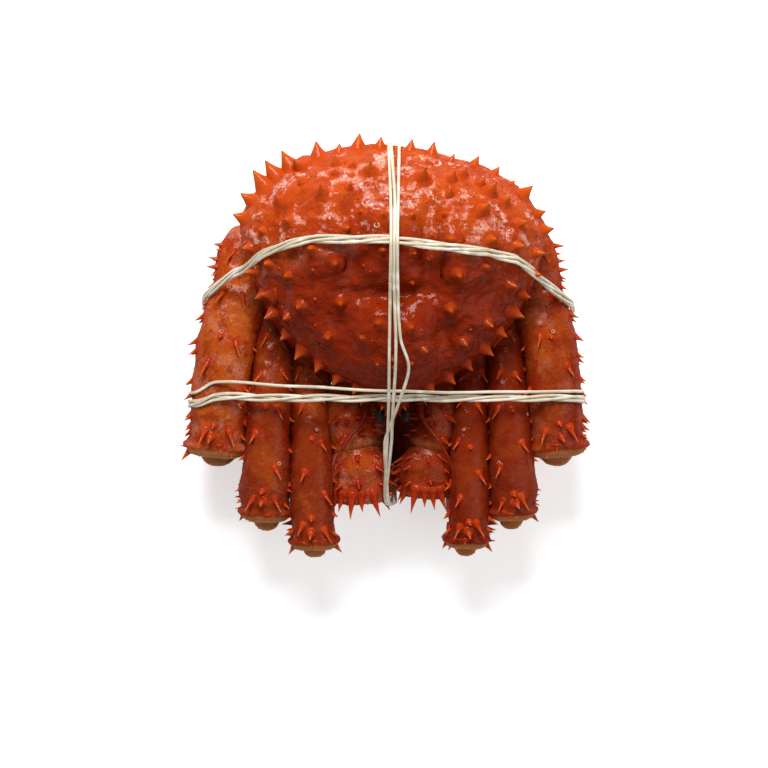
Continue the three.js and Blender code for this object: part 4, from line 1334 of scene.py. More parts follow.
@dataclass(frozen=True)
class LegPlan:
    """One walking leg in plan: its joints from root to tip, the half sizes of its merus and of its foot."""

    name: str
    joints: tuple[Place, ...]
    wide: float
    deep: float
    foot: float
    spine: float
    # How much painted shade darkens the whole leg: much on the two front legs, little on the third
    shade: float
    # Where its merus is fuller: outward (1) or inward (-1), place, reach along it, and share of its half width
    fuller: tuple[tuple[float, float, float, float], ...]
    # Rings of lost spines on its merus: place, angle and half width
    scars: tuple[tuple[float, float, float], ...]


LEG_PLANS = (
    LegPlan("first", ((40, -22), (53, -43), (48, -163), (51, -146), (50, -52), (42, 9)), 11.2, 15.5, 10.4, 7, 0.88,
            ((-1, 0.12, 0.16, 0.62), (1, 0.74, 0.2, 0.12)), ((0.44, 1.9, 1.2),)),
    LegPlan("second", ((45, 2), (71, -22), (78, -145), (79, -129), (71, -36), (56, 27)), 12, 16.5, 11, 7, 0.8,
            ((-1, 0.28, 0.16, 0.18), (1, 0.10, 0.16, 0.46), (-1, 0.78, 0.2, 0.12), (1, 0.80, 0.11, 0.34)),
            ((0.66, 2.2, 1.5), (0.5, 0.6, 1.3))),
    LegPlan("third", ((45, 27), (89, 29), (108, -104), (106, -91), (93, 6), (68, 56)), 15.2, 16, 11.4, 9, 0.2,
            ((-1, 0.32, 0.17, 0.46), (-1, 0.88, 0.1, 0.07), (1, 0.10, 0.13, 0.24)),
            ((0.30, 1.3, 1.7), (0.47, 1.45, 1.5))),
)
# The heights of the joints, and of the shank between ankle and wrist
HIP_HEIGHT = 50.0
MERUS_HEIGHT = 56.0
KNEE_HEIGHT = 53.0
ANKLE_HEIGHT = 11.2
SHANK_HEIGHT = 16.8
# Further forward than this the two sides reach differently far
FRONT = -100.0


@dataclass
class WalkingLeg:
    """A walking leg, folded at its knee: base, merus above, carpus, propodus and dactyl below."""

    plan: LegPlan
    side: Side

    # How many rings each length has
    RINGS = {"base": 24, "merus": 110, "carpus": 36, "propodus": 64, "dactyl": 50}

    def station(self, point: Array, z: float, wide: float, deep: float) -> tuple[float, ...]:
        """A station of a limb on this side of the crab, whose reach in front differs from the other's.

        Args:
            point: where it is in the plan.
            z: how high it is.
            wide: the half width there.
            deep: the half depth there.

        Returns:
            The station.
        """
        x, y = point
        y = FRONT + (y - FRONT) * self.side.reach if y < FRONT else y
        return x * self.side.sign * self.side.spread, y, z, wide, deep

    def limbs(self) -> dict[str, Limb]:
        """The five lengths of the leg.

        Returns:
            Each length by its name.
        """
        at = self.station
        root, hip, knee, ankle, wrist, tip = np.array(self.plan.joints, float)
        wide, deep, foot = self.plan.wide * self.side.spread, self.plan.deep, self.plan.foot
        bow = mix(hip, knee, 0.5) + ((knee[0] - hip[0]) * 0.2, 0)
        return {
            "base": Limb([
                at(root + (-8, 3), HIP_HEIGHT + 1, 9, 11),
                at(mix(root, hip, 0.5), HIP_HEIGHT - 1, 8.2, 10),
                at(hip + (-1, -1), HIP_HEIGHT - 1, 7.2, 9),
            ], AXIS_Y),
            "merus": Limb([
                at(hip + (1, -3), HIP_HEIGHT, wide * 0.66, deep * 0.7),
                at(mix(hip, bow, 0.4), HIP_HEIGHT + 1, wide * 0.8, deep * 0.86),
                at(bow, MERUS_HEIGHT, wide, deep),
                at(mix(bow, knee, 0.7), KNEE_HEIGHT + 3, wide * 1.03, deep * 0.98),
                at(knee, KNEE_HEIGHT, wide * 0.86, deep * 0.78),
            ], AXIS_X, 2.5, round_start=1.1),
            "carpus": Limb([
                at(knee + (0, -3), KNEE_HEIGHT - 8, wide * 0.66, deep * 0.55),
                at(mix(knee, ankle, 0.4) + (0, -4), KNEE_HEIGHT * 0.6, wide * 0.82, 10.5),
                at(ankle + (0, -5), ANKLE_HEIGHT + 8, foot * 0.98, foot * 0.9),
            ], AXIS_X),
            "propodus": Limb([
                at(ankle, ANKLE_HEIGHT, foot, ANKLE_HEIGHT - 0.2),
                at(mix(ankle, wrist, 0.18), SHANK_HEIGHT - 0.8, foot, foot * 0.98),
                at(mix(ankle, wrist, 0.55), SHANK_HEIGHT, foot * 0.86, foot * 0.94),
                at(wrist, SHANK_HEIGHT - 2, foot * 0.68, foot * 0.74),
            ], AXIS_X),
            "dactyl": Limb([
                at(wrist + (0, 2), SHANK_HEIGHT - 2, foot * 0.52, foot * 0.56),
                at(mix(wrist, tip, 0.4), SHANK_HEIGHT - 2.5, foot * 0.42, foot * 0.5),
                at(mix(wrist, tip, 0.8), 6.5, foot * 0.22, foot * 0.26),
                at(tip, 1.6, 1.4, 1.5),
            ], AXIS_X),
        }

    def rows(self) -> dict[str, list[Row]]:
        """The rows of spines.

        Returns:
            The rows of each length, by its name.
        """
        n = self.plan.spine
        outer = [Row(0.3, 0.08, 0.86, 8, n * 1.15, 0.45), Row(-0.1, 0.12, 0.9, 7, n * 0.8, 0.5)]
        if self.plan.name == "third":
            outer = [
                Row(0.3, 0.1, 0.86, 13, n * 0.95, 0.7), Row(0.0, 0.13, 0.9, 14, n * 0.85, 0.8),
                Row(-0.35, 0.2, 0.92, 9, n * 0.7, 0.8), Row(0.35, 0.03, 0.2, 4, n * 1.2, 0.1, 5.0),
            ]
        return {
            "merus": [
                *outer, Row(UP - 0.5, 0.1, 0.82, 4, n * 1.2, 1.0, 2.5), Row(UP - 0.05, 0.2, 0.78, 3, n * 0.5),
                Row(UP + 0.55, 0.14, 0.84, 5, n * 1.15, 1.0, 2.3), Row(math.pi - 0.45, 0.15, 0.86, 7, n * 0.85, 0.6),
                Row(math.pi, 0.2, 0.9, 6, n * 0.6, 0.6),
            ],
            "carpus": [
                Row(0.1, 0.2, 0.9, 5, n * 1.4, -0.2), Row(UP - 0.5, 0.25, 0.9, 4, n, -0.2),
                Row(UP + 0.6, 0.3, 0.85, 3, n, -0.2),
            ],
            "propodus": [
                Row(0.25, 0.1, 0.88, 7, n * 0.8), Row(UP - 0.3, 0.14, 0.8, 4, n * 0.65),
                Row(-0.5, 0.15, 0.8, 5, n * 0.5), Row(math.pi - 0.3, 0.15, 0.8, 6, n * 0.6),
            ],
            "dactyl": [Row(0.4, 0.1, 0.4, 3, 2.5)],
        }

    # The flared rim of the merus at the knee: angle, place, length for each millimetre of the usual one, half
    # width and lean
    KNEE = (
        (0.12, 0.935, 1.8, 6.0, 1.3), (-0.30, 0.95, 1.1, 4.2, 1.4), (0.46, 0.955, 0.9, 4.0, 1.6),
        (0.85, 0.965, 0.6, 2.8, 1.9), (1.42, 0.86, 0.9, 3.6, 0.35), (1.75, 0.965, 0.45, 2.4, 1.9),
        (2.25, 0.965, 0.65, 2.8, 1.9), (2.67, 0.955, 0.9, 3.8, 1.6), (3.02, 0.935, 1.75, 6.0, 1.3),
        (3.45, 0.95, 1.0, 4.0, 1.6),
    )
    # The longest usual spine that the knee's spines follow
    KNEE_SPINE = 7.5

    def knee(self) -> list[Row]:
        """The flared spines of the knee, each as a row."""
        usual = min(self.plan.spine, self.KNEE_SPINE)
        return [Row(a, place, place, 1, usual * length, lean, girth) for a, place, length, girth, lean in self.KNEE]

    def merus_relief(self, t: Array, angle: Array) -> Array:
        """Full flanks, a waist, a flare at the knee, and low ridges under the rows of spines.

        Args:
            t: shares of the length.
            angle: angles round it.

        Returns:
            A factor on the section.
        """
        flank = np.abs(np.cos(angle))
        full = (0.09 + 0.08 * bell(t, 0, 0.3)) * flank**4
        for way, place, reach, rise in self.plan.fuller:
            flank_side = np.clip(way * self.side.sign * np.cos(angle), 0, 1)
            full = full + rise * flank_side**3 * bell(t, place, reach)
        flare = bell(t, 0.972, 0.042) * (0.04 + 0.44 * flank**3)
        ridges = 0.03 * np.cos(3 * (angle - 0.35)) * grow(t, 0, 0.25)
        return 1 + full + flare - 0.05 * bell(t, 0.80, 0.07) + ridges

    @staticmethod
    def base_relief(t: Array, angle: Array) -> Array:
        """Full flanks, fuller still at the hip."""
        return 1 + (0.12 + 0.28 * t) * np.cos(angle) ** 2

    @staticmethod
    def shank_relief(t: Array, angle: Array) -> Array:
        """Full flanks, fuller still at the wrist."""
        return 1 + (0.36 + 0.14 * t) * np.abs(np.cos(angle)) ** 3

    def build(self, maker: Maker) -> None:
        """Makes the five lengths.

        Args:
            maker: what makes the pieces.
        """
        rows = self.rows()
        reliefs = {"base": self.base_relief, "merus": self.merus_relief, "propodus": self.shank_relief}
        for part, limb in self.limbs().items():
            merus = part == "merus"
            skin = limb.skin(self.RINGS[part], 60 if merus else 36, reliefs.get(part))
            share, top = skin.values["share"], skin.values["top"]
            skin.values = {
                "tan": self.tan(part, share),
                "stripe": grow(top, 0.45, 0.45) * self.stripe() * merus,
                "zone": self.dark(part, share, top),
                "bare": np.full(len(top), 0.3),
            }
            spines, stubs = Spines(), Spines()
            for row in rows.get(part, []) + (self.knee() if merus else []):
                spines += maker.row(limb, self.side, row)
            if merus:
                for place, angle, width in self.plan.scars:
                    point, out, _ = limb.skin_point(place, self.side.facing(angle))
                    stubs.append(Spine(point + out * 0.3, out, 1.7, width))
            node = f"{self.side.name}_{self.plan.name}_leg_{part}"
            maker.plate(f"{node}_shell", node, Slot.LEG, skin, spines, stubs, mound=1.2, lump=1.6, lump_size=12,
                        wart=0.7, gap=2.8, grain={"dactyl": 0.25, "base": 0.35}.get(part, 0.36))

    def stripe(self) -> float:
        """How pale the stripe along the merus is: less on the front legs, in their painted shade, and on the left
        side.
        """
        return (1 - 0.5 * self.plan.shade) * (1 - 1.4 * self.side.shade)

    def dark(self, part: str, share: Array, top: Array) -> Array:
        """How dark the shell is: painted shade on its flanks and below and over the front legs, the left side darker,
        and less where the third merus leaves the body.

        Args:
            part: the name of the length.
            share: shares of it.
            top: how far each point faces up.

        Returns:
            The zone at each point.
        """
        # Painted shade on the flanks, below and over the front legs, with the left side's darker tone added
        least = min(self.plan.shade + self.side.shade, 0.95)
        dark = np.maximum(grow(top, 0.55, -0.8), least) * 0.9
        return dark * grow(share, 0, 0.3) if part == "merus" and self.plan.name == "third" else dark

    @staticmethod
    def tan(part: str, share: Array) -> Array:
        """How tan the shell is: at the knee's end of the merus and at both ends of the other lengths."""
        end, start = grow(share, 0.975, 0.025), grow(share, 0.25, -0.1)
        return end if part == "merus" else np.maximum(end, start)


@dataclass
class ClawLeg:
    """A claw leg: base, merus and carpus in front of the mouth, the palm and fingers folded back below."""

    side: Side
    # How far out the palm of the larger claw lies
    lane: float = 22.5

    # How many rings each length has, and how many corners each ring
    RINGS = {"base": 22, "merus": 40, "carpus": 44, "palm": 70, "finger": 44, "fixed_finger": 44}
    SIDES = 48
    TEETH = 6

    def limbs(self) -> dict[str, Limb]:
        """The lengths of the leg, the palm's fixed finger among them.

        Returns:
            Each length by its name.
        """
        size = self.side.claw
        lane = self.lane - 2 + 2 * size
        # The larger claw reaches further forward
        front = -132.5 if size > 0.95 else -128.5
        rows = {
            # x, y, z, half width and half depth
            "base": ((21, -40, 51, 9, 10.5), (31, -62, 50, 8, 10)),
            "merus": (
                (32, -66, 50.5, 9, 11), (29, -84, 54, 11.5 * size, 12.5 * size),
                (24, -102, 55, 12.5 * size, 12 * size),
            ),
            "carpus": (
                (23, -106, 54, 12.5 * size, 12.5 * size), (22, -116.25, 54, 16.8 * size, 15 * size),
                (21.5, front, 51, 15.6 * size, 13.5 * size),
            ),
            "palm": (
                (lane, -127.5, 27, 12.5 * size, 11 * size), (lane, -110, 16.5, 15 * size, 16.3),
                (lane, -86.8, 18.2, 16 * size, 13.4 * size), (lane, -46, 17.6, 14 * size, 11.6 * size),
            ),
            "fixed_finger": (
                (lane + 7 * size, -52, 16, 7 * size, 8.5 * size),
                (lane + 6.4 * size, -25.5, 13, 5.2 * size, 6.2 * size), (lane + 2.6, -5, 8, 1.8, 2.2),
            ),
            "finger": (
                (lane - 6.6 * size, -44, 17, 6.6 * size, 8 * size),
                (lane - 6.2 * size, -25.5, 14, 5.2 * size, 6.2 * size), (lane - 2.8, -4, 9, 1.8, 2.2),
            ),
        }
        return {part: Limb(mirrored(stations, self.side.sign), AXIS_X) for part, stations in rows.items()}

    ROWS = {
        "merus": [
            Row(UP - 0.5, 0.2, 0.85, 3, 7), Row(UP + 0.5, 0.3, 0.85, 3, 7), Row(UP, 0.2, 0.8, 4, 4),
            Row(math.pi, 0.3, 0.9, 4, 8), Row(math.pi - 0.4, 0.2, 0.8, 4, 8),
        ],
        "carpus": [
            Row(UP - 0.7, 0.15, 0.75, 3, 6), Row(UP, 0.25, 0.7, 2, 5), Row(UP + 0.75, 0.2, 0.75, 3, 6),
            Row(0.2, 0.2, 0.85, 4, 7, 0.5),
            Row(math.pi - 0.25, 0.15, 0.9, 5, 9, 0.5), Row(math.pi + 0.15, 0.2, 0.9, 5, 9, 0.5),
        ],
        "palm": [
            Row(0.3, 0.2, 0.85, 5, 6), Row(UP - 0.5, 0.25, 0.9, 4, 6), Row(-0.3, 0.3, 0.9, 4, 4),
            Row(math.pi - 0.4, 0.05, 0.9, 8, 8), Row(math.pi + 0.1, 0.05, 0.9, 8, 8),
            Row(math.pi - 0.1, 0, 0.6, 6, 9),
        ],
        "finger": [Row(math.pi - 0.4, 0.05, 0.4, 3, 3)],
    }
    # A crown of stout spines round the front of the carpus
    CROWN = tuple(Row(0.1 + (math.pi - 0.2) * i / 7, 0.96, 0.96, 1, 12.5, 1.7, 4.0) for i in range(8))

    @staticmethod
    def relief(_t: Array, angle: Array) -> Array:
        """Full flanks."""
        return 1 + 0.15 * np.abs(np.cos(angle)) ** 4

    @staticmethod
    def base_relief(_t: Array, angle: Array) -> Array:
        """Flanks that close the body towards the first leg."""
        return 1 + 0.4 * np.abs(np.cos(angle)) ** 3

    def palm_relief(self, t: Array, angle: Array) -> Array:
        """A flank that nearly meets the other palm, more so for the smaller claw and at the front.

        Args:
            t: shares of the length.
            angle: angles round it.

        Returns:
            A factor on the section.
        """
        inner, outer = (np.clip(way * self.side.sign * np.cos(angle), 0, 1) for way in (-1, 1))
        near = 0.52 + 1.4 * (1 - self.side.claw) + 0.42 * bell(t, 0, 0.14)
        return 1 + (near * inner**2 + 0.16 * outer**3) * np.clip((1.1 - t) * 3, 0, 1)

    def teeth(self, limb: Limb, inner: float) -> Spines:
        """Blunt teeth along the biting edge of a finger.

        Args:
            limb: the finger.
            inner: the angle of the edge.

        Returns:
            The teeth.
        """
        teeth = Spines()
        for i in range(self.TEETH):
            point, out, _ = limb.skin_point(0.28 + 0.1 * i, self.side.facing(inner))
            size = 1.9 - 0.15 * i
            teeth.append(Spine(point - out * 0.4, out, size, size))
        return teeth

    def build(self, maker: Maker) -> None:
        """Makes the lengths of the leg.

        Args:
            maker: what makes the pieces.
        """
        limbs = self.limbs()
        reliefs = {"palm": self.palm_relief, "base": self.base_relief}
        skins = {
            part: limb.skin(self.RINGS[part], self.SIDES, reliefs.get(part, self.relief))
            for part, limb in limbs.items()
        }
        fixed = skins.pop("fixed_finger")
        pale = 1 - 1.4 * self.side.shade
        for part, skin in skins.items():
            spines = Spines()
            for row in self.ROWS.get(part, []):
                spines += maker.row(limbs[part], self.side, row, 0.35)
            for row in self.CROWN if part == "carpus" else ():
                spines += maker.row(limbs[part], self.side, row)
            if part == "palm":
                skin = skin.joined(fixed)
                spines += self.teeth(limbs["fixed_finger"], math.pi)
            if part == "finger":
                spines += self.teeth(limbs[part], 0.0)
            share, top = skin.values["share"], skin.values["top"]
            skin.values = {
                "tan": grow(share, 0.9, 0.1) * 0.3,
                "stripe": grow(top, 0.5, 0.4) * pale,
                # Painted shade on the flanks and below, and the left side darker in tone
                "zone": np.maximum(grow(top, 0.5, -0.8), 1.5 * self.side.shade) * 0.8,
                "bare": np.full(len(top), 0.3),
            }
            node = f"{self.side.name}_claw_{part}"
            maker.plate(f"{node}_shell", node, Slot.CLAW, skin, spines, mound=1.6, lump=1.5, wart=0.6, gap=2.3)


@dataclass
class Underside:
    """The breast plates and the folded abdomen."""

    grooves: tuple = (0.16, 0.3, 0.44, 0.58, 0.72, 0.86)

    # x, y, z, half width and half depth
    THORAX = (
        (0, -66, 62, 14, 8), (0, -48, 57, 32, 14), (0, -18, 55, 44, 17), (0, 18, 56, 48, 17),
        (0, 46, 58, 44, 15), (0, 66, 62, 30, 9),
    )
    ABDOMEN = (
        (0, 72, 60, 27, 5), (0, 66, 47, 33, 6), (0, 44, 36.5, 36, 4.5), (0, 16, 35.5, 32, 4),
        (0, -8, 36, 20, 3.5), (0, -20, 37, 9, 2.8),
    )

    def relief(self, t: Array, _angle: Array) -> Array:
        """Narrow grooves between the plates."""
        return 1 - 0.13 * sum(bell(t, groove, 0.014) for groove in self.grooves)

    def build(self, maker: Maker) -> None:
        """Makes both.

        Args:
            maker: what makes the pieces.
        """
        thorax, abdomen = Limb(self.THORAX, AXIS_X, 3.0, 0.3), Limb(self.ABDOMEN, AXIS_X, 2.6, 0.5)
        for name, limb, wart in (("thorax", thorax, 0.5), ("abdomen", abdomen, 0.7)):
            skin = limb.skin(120, 64, self.relief)
            skin.values = {}
            maker.plate(f"{name}_plates", name, Slot.BELLY, skin,
                        lump=0.9, lump_size=12, wart=wart, gap=2.8, grain=0.5)


@dataclass
class Head:
    """Eyes, feelers and mouthparts of one side."""

    side: Side
    rings_of_feeler: int = 46

    # x, y, z, half width and half depth
    STALK = ((6.5, -70, 70, 2.2, 2.2), (7.5, -77, 71.5, 2.1, 2.1), (7.8, -80, 72.6, 2.5, 2.5))
    CORNEA = ((7.8, -79.6, 72.5, 2.6, 2.7), (8, -82, 73.4, 3.1, 3.3), (8.2, -84.5, 74.5, 2.5, 2.7))
    FEELER = (
        (15, -66, 64, 3.6, 3.2), (16.5, -77, 68, 3, 2.8), (19, -86, 71, 1.5, 1.5),
        (28, -98, 74, 1.1, 1.1), (36.5, -114, 75, 0.8, 0.8), (38.5, -132, 73, 0.5, 0.5),
    )
    MOUTH = ((8.5, -50, 42, 4.4, 3.8), (8, -66, 46, 4.6, 4), (6.5, -78, 54, 4, 3.6), (5.5, -81, 63, 2.6, 2.4))
    BRISTLES = (
        Row(0.2, 0.1, 0.98, 26, 5, 0.6, 0.22), Row(math.pi - 0.2, 0.1, 0.98, 26, 5, 0.6, 0.22),
        Row(-UP, 0.3, 0.98, 20, 4, 0.6, 0.2),
    )

    def build(self, maker: Maker) -> None:
        """Makes them.

        Args:
            maker: what makes the pieces.
        """
        name, sign = self.side.name, self.side.sign
        soft = {"lump": 0.12, "lump_size": 4, "wart": 0.05, "gap": 3.5, "grain": 0.1}
        for piece, node, slot, rows, shape, rings, relief, dark in (
            ("eye_stalk", "eye", Slot.LEG, self.STALK, (2.0, 0.6), 24, None, 0.0),
            ("eye_cornea", "eye", Slot.EYE, self.CORNEA, (2.0, 0.85), 28, None, 0.0),
            ("feeler", "antenna", Slot.LEG, self.FEELER, (2.0,), 230, self.annuli, 0.9),
        ):
            skin = Limb(mirrored(rows, sign), AXIS_X, *shape).skin(rings, 24, relief)
            skin.values = {"zone": np.full(len(skin.points), dark)}
            maker.plate(f"{name}_{piece}", f"{name}_{node}", slot, skin, **soft)
        mouth, bristles = Limb(mirrored(self.MOUTH, sign), AXIS_X, 2.2), Spines()
        for row in self.BRISTLES:
            bristles += maker.row(mouth, self.side, row)
        skin = mouth.skin(70, 32, self.segments)
        skin.values = {}
        maker.plate(f"{name}_mouthpart", f"{name}_maxilliped", Slot.LEG, skin, bristles,
                    lump=0.3, lump_size=6, wart=0.2, gap=2.4, grain=0.25)

    def annuli(self, t: Array, _angle: Array) -> Array:
        """The fine rings of a feeler past its two thick joints.

        Args:
            t: shares of the length.

        Returns:
            A factor on the section.
        """
        saw = (t * self.rings_of_feeler) % 1.0
        joints = bell(t, 0.2, 0.008) + bell(t, 0.36, 0.008)
        return np.where(t > 0.4, 0.86 + 0.2 * saw, 1 - 0.2 * joints)

    @staticmethod
    def segments(t: Array, _angle: Array) -> Array:
        """The joints of a mouthpart."""
        return 1 - 0.22 * sum(bell(t, joint, 0.02) for joint in (0.3, 0.55, 0.78))


class Lay(Enum):
    """How the strands of a band lie on each other."""

    SIDE_BY_SIDE = "side by side"
    TWISTED = "twisted"


@dataclass(frozen=True)
class Band:
    """A band of palm fibre drawn taut round the crab."""

    name: str
    y: float
    z: float
    slope: float
    slab: float
    strands: int
    spread: float
    lift: float
    pitch: float
    lay: Lay
    lengthwise: bool = False
    # How far its upper side lies off its plane: places along x, and the way along y
    bend: tuple = ()

    def off_plane(self, points: Array) -> Array:
        """How far along y the band lies off its plane, above a height and towards it less.

        Args:
            points: points of the crab.

        Returns:
            The way at each.
        """
        if not self.bend:
            return np.zeros(len(points))
        places, ways = np.array(self.bend, float).T
        return smooth_value(places, ways, points[:, 0]) * grow(points[:, 2], 15, 20)

    def axes(self) -> tuple[Array, Array, Array, Array]:
        """Its plane.

        Returns:
            A point of it, the directions across and up in it, and the one square to it.
        """
        origin = np.array([0.0, self.y, self.z])
        if self.lengthwise:
            return origin, AXIS_Y, AXIS_Z, AXIS_X
        upward = unit(np.array([0.0, self.slope, 1.0]))
        return origin, AXIS_X, upward, np.cross(upward, AXIS_X)


UPPER_BAND = Band("upper_band", 24, 120, 0.575, 4.2, 4, 2.3, 0.7, 105, Lay.TWISTED, bend=(
    (-126, 3), (-114, 4), (-100, 3.7), (-90, 0.6), (-77, 0.4), (-60, -1.8), (-46, -3.3), (-25, -4.9), (-2, -5.8),
    (33, -10.4), (59, -9.2), (76, -5.4), (95, -3.5), (110, -2), (126, 0),
))
LOWER_BAND = Band("lower_band", -72.5, 60, 0.0, 3, 3, 1.6, 0.5, 90, Lay.TWISTED, bend=(
    (-130, -3), (-121, -2.5), (-110, 1.2), (-60, 0.6), (0, 0.6), (60, 0.4), (112, 0.4), (124, -1.5),
))
LOWER_STRAND = Band("lower_strand", -68.1, 60, 0.0, 4, 1, 0.0, 0.0, 100, Lay.SIDE_BY_SIDE, bend=(
    (-130, -1), (-122, 0), (-110, 6), (-60, 3.6), (0, 0.4), (130, 0),
))
LONG_BAND = Band("long_band", 0, 60, 0.0, 9, 3, 1.9, 0.5, 140, Lay.SIDE_BY_SIDE, lengthwise=True)
# The strands of the lengthwise band on top of the shell: places along y, and each strand's x
LONG_LANES = np.array([
    [-128, -5.0, -4.0, -3.4], [-100, -3.6, -1.0, -5.0], [-88, -3.0, -0.5, -1.4], [-70, -2.6, 0.4, 5.2],
    [-53, -2.4, 1.4, 9.4], [-36, -2.2, 1.6, 4.4], [0, -1.7, 0.4, 2.6], [30, -1.2, 0.8, 2.6],
    [46, -1.4, 1.0, 3.0], [82, -2.6, -1.0, 3.8],
])


class Binding:
    """The four bands, each drawn taut round the shapes that it crosses."""

    # How far it stays off the skins, the steps along it, and the section of a strand, in millimetres
    STANDOFF = 1.15
    STEP = 2.2
    WIDTH = 1.9
    THICKNESS = 1.15
    # How the strands stray sideways: how far, in how many waves, and how far the next strand's waves are shifted
    WOBBLES = ((0.25, 5, 0.37), (0.18, 11, 1))
    # How many directions its outline is taken in
    WAYS = 720

    def __init__(self, maker: Maker) -> None:
        """Keeps the shapes.

        Args:
            maker: it knows the skins of all the plates.
        """
        self.maker = maker
        self.tree = StrandTree()
        self.points = np.vstack(list(maker.cores.values()))
        self.laid: list[Array] = []

    @staticmethod
    def hull(points: Array) -> Array:
        """The convex outline of points in a plane.

        Args:
            points: the points.

        Returns:
            The corners of the outline, anticlockwise.
        """
        points = points[np.lexsort((points[:, 1], points[:, 0]))]

        def chain(order: Array) -> list[Array]:
            """One half of the outline, from points in order.

            Args:
                order: the points from one end to the other.

            Returns:
                Its corners but for the last.
            """
            found: list[Array] = []
            for p in order:
                while len(found) > 1:
                    a, b = found[-1] - found[-2], p - found[-2]
                    if a[0] * b[1] - a[1] * b[0] > 0:
                        break
                    found.pop()
                found.append(p)
            return found[:-1]

        return np.array(chain(points) + chain(points[::-1]))

    def route(self, band: Band) -> tuple[Array, Array]:
        """The line that a band follows, in even steps.

        Args:
            band: the band.

        Returns:
            Its points, and the direction that faces away from the crab at each.
        """
        origin, across, upward, normal = band.axes()
        points = self.points
        if self.laid and band.lengthwise:
            over = np.vstack(self.laid)
            points = np.vstack([points, over[over[:, 2] > 60]])
        away = points - AXIS_Y * band.off_plane(points)[:, None] - origin
        near = np.abs(away @ normal) < band.slab
        outline = self.hull(np.column_stack([away[near] @ across, away[near] @ upward]))
        angles = np.arange(self.WAYS) / self.WAYS * 2 * math.pi
        ways = np.column_stack([np.cos(angles), np.sin(angles)])
        corners = outline[(ways @ outline.T).argmax(axis=1)] + ways * self.STANDOFF
        loop = np.vstack([corners, corners[:1]])
        run = walked(loop)
        even = np.linspace(0, run[-1], int(run[-1] / self.STEP) + 1)[:-1]
        u, v = (np.interp(even, run, loop[:, k])[:, None] for k in (0, 1))
        turn = np.interp(even, run, np.append(angles, 2 * math.pi))[:, None]
        spot = origin + u * across + v * upward
        spot = spot + AXIS_Y * band.off_plane(spot)[:, None]
        return spot, np.cos(turn) * across + np.sin(turn) * upward

    def strand_lines(self, band: Band, spot: Array, out: Array) -> list[Array]:
        """The centre lines of a band's strands.

        Args:
            band: the band.
            spot: the points of its route.
            out: the direction away from the crab at each.

        Returns:
            One closed line for each strand.
        """
        normal = band.axes()[3]
        share = np.arange(len(spot)) / len(spot)
        turns = max(1, round(len(spot) * self.STEP / band.pitch))
        lines = []
        for k in range(band.strands):
            wobble = sum(
                size * np.sin(2 * math.pi * (waves * share + start * k)) for size, waves, start in self.WOBBLES
            )
            if band.lay is Lay.TWISTED:
                phase = 2 * math.pi * (k / band.strands + turns * share)
                sideways, lift = band.spread * np.cos(phase), band.lift * (np.sin(phase) + 0.6)
            else:
                sideways, lift = band.spread * (k - (band.strands - 1) / 2), np.full(len(spot), band.lift * (k % 2))
            line = spot + normal * (sideways + wobble)[:, None] + out * lift[:, None]
            if band.lengthwise:
                lane = smooth_value(LONG_LANES[:, 0], LONG_LANES[:, 1 + k], spot[:, 1])
                line[:, 0] = mix(line[:, 0], lane, grow(spot[:, 2], 45, 20))
            lines.append(line)
        return lines

    def curve(self, name: str, lines: list[Array]) -> Piece:
        """Closed lines as one curve object, turned so that the strands lie flat on the shell.

        Args:
            name: its name.
            lines: the lines, in the crab's millimetres.

        Returns:
            The object.
        """
        data = bpy.data.curves.new(name, "CURVE")
        data.dimensions = "3D"
        data.twist_mode = "Z_UP"
        for line in lines:
            spline = data.splines.new("POLY")
            spline.points.add(len(line) - 1)
            metres = self.maker.plan.metres(line)
            spline.points.foreach_set("co", np.column_stack([metres, np.ones(len(line))]).ravel())
            spline.use_cyclic_u = True
        return linked(name, data)

    def build(self) -> None:
        """Makes the bands, the ones across before the one along."""
        material = self.maker.materials[Slot.FIBRE]
        sizes = {"width": self.WIDTH * MM, "thickness": self.THICKNESS * MM, "material": material}
        for band in (UPPER_BAND, LOWER_BAND, LOWER_STRAND, LONG_BAND):
            spot, out = self.route(band)
            lines = self.strand_lines(band, spot, out)
            self.laid += [line + out * 0.6 for line in lines]
            piece = self.tree.apply(self.curve(f"{band.name}_lines", lines), f"{band.name}_strands", sizes)
            self.maker.ride(piece, Slot.FIBRE, band.name)


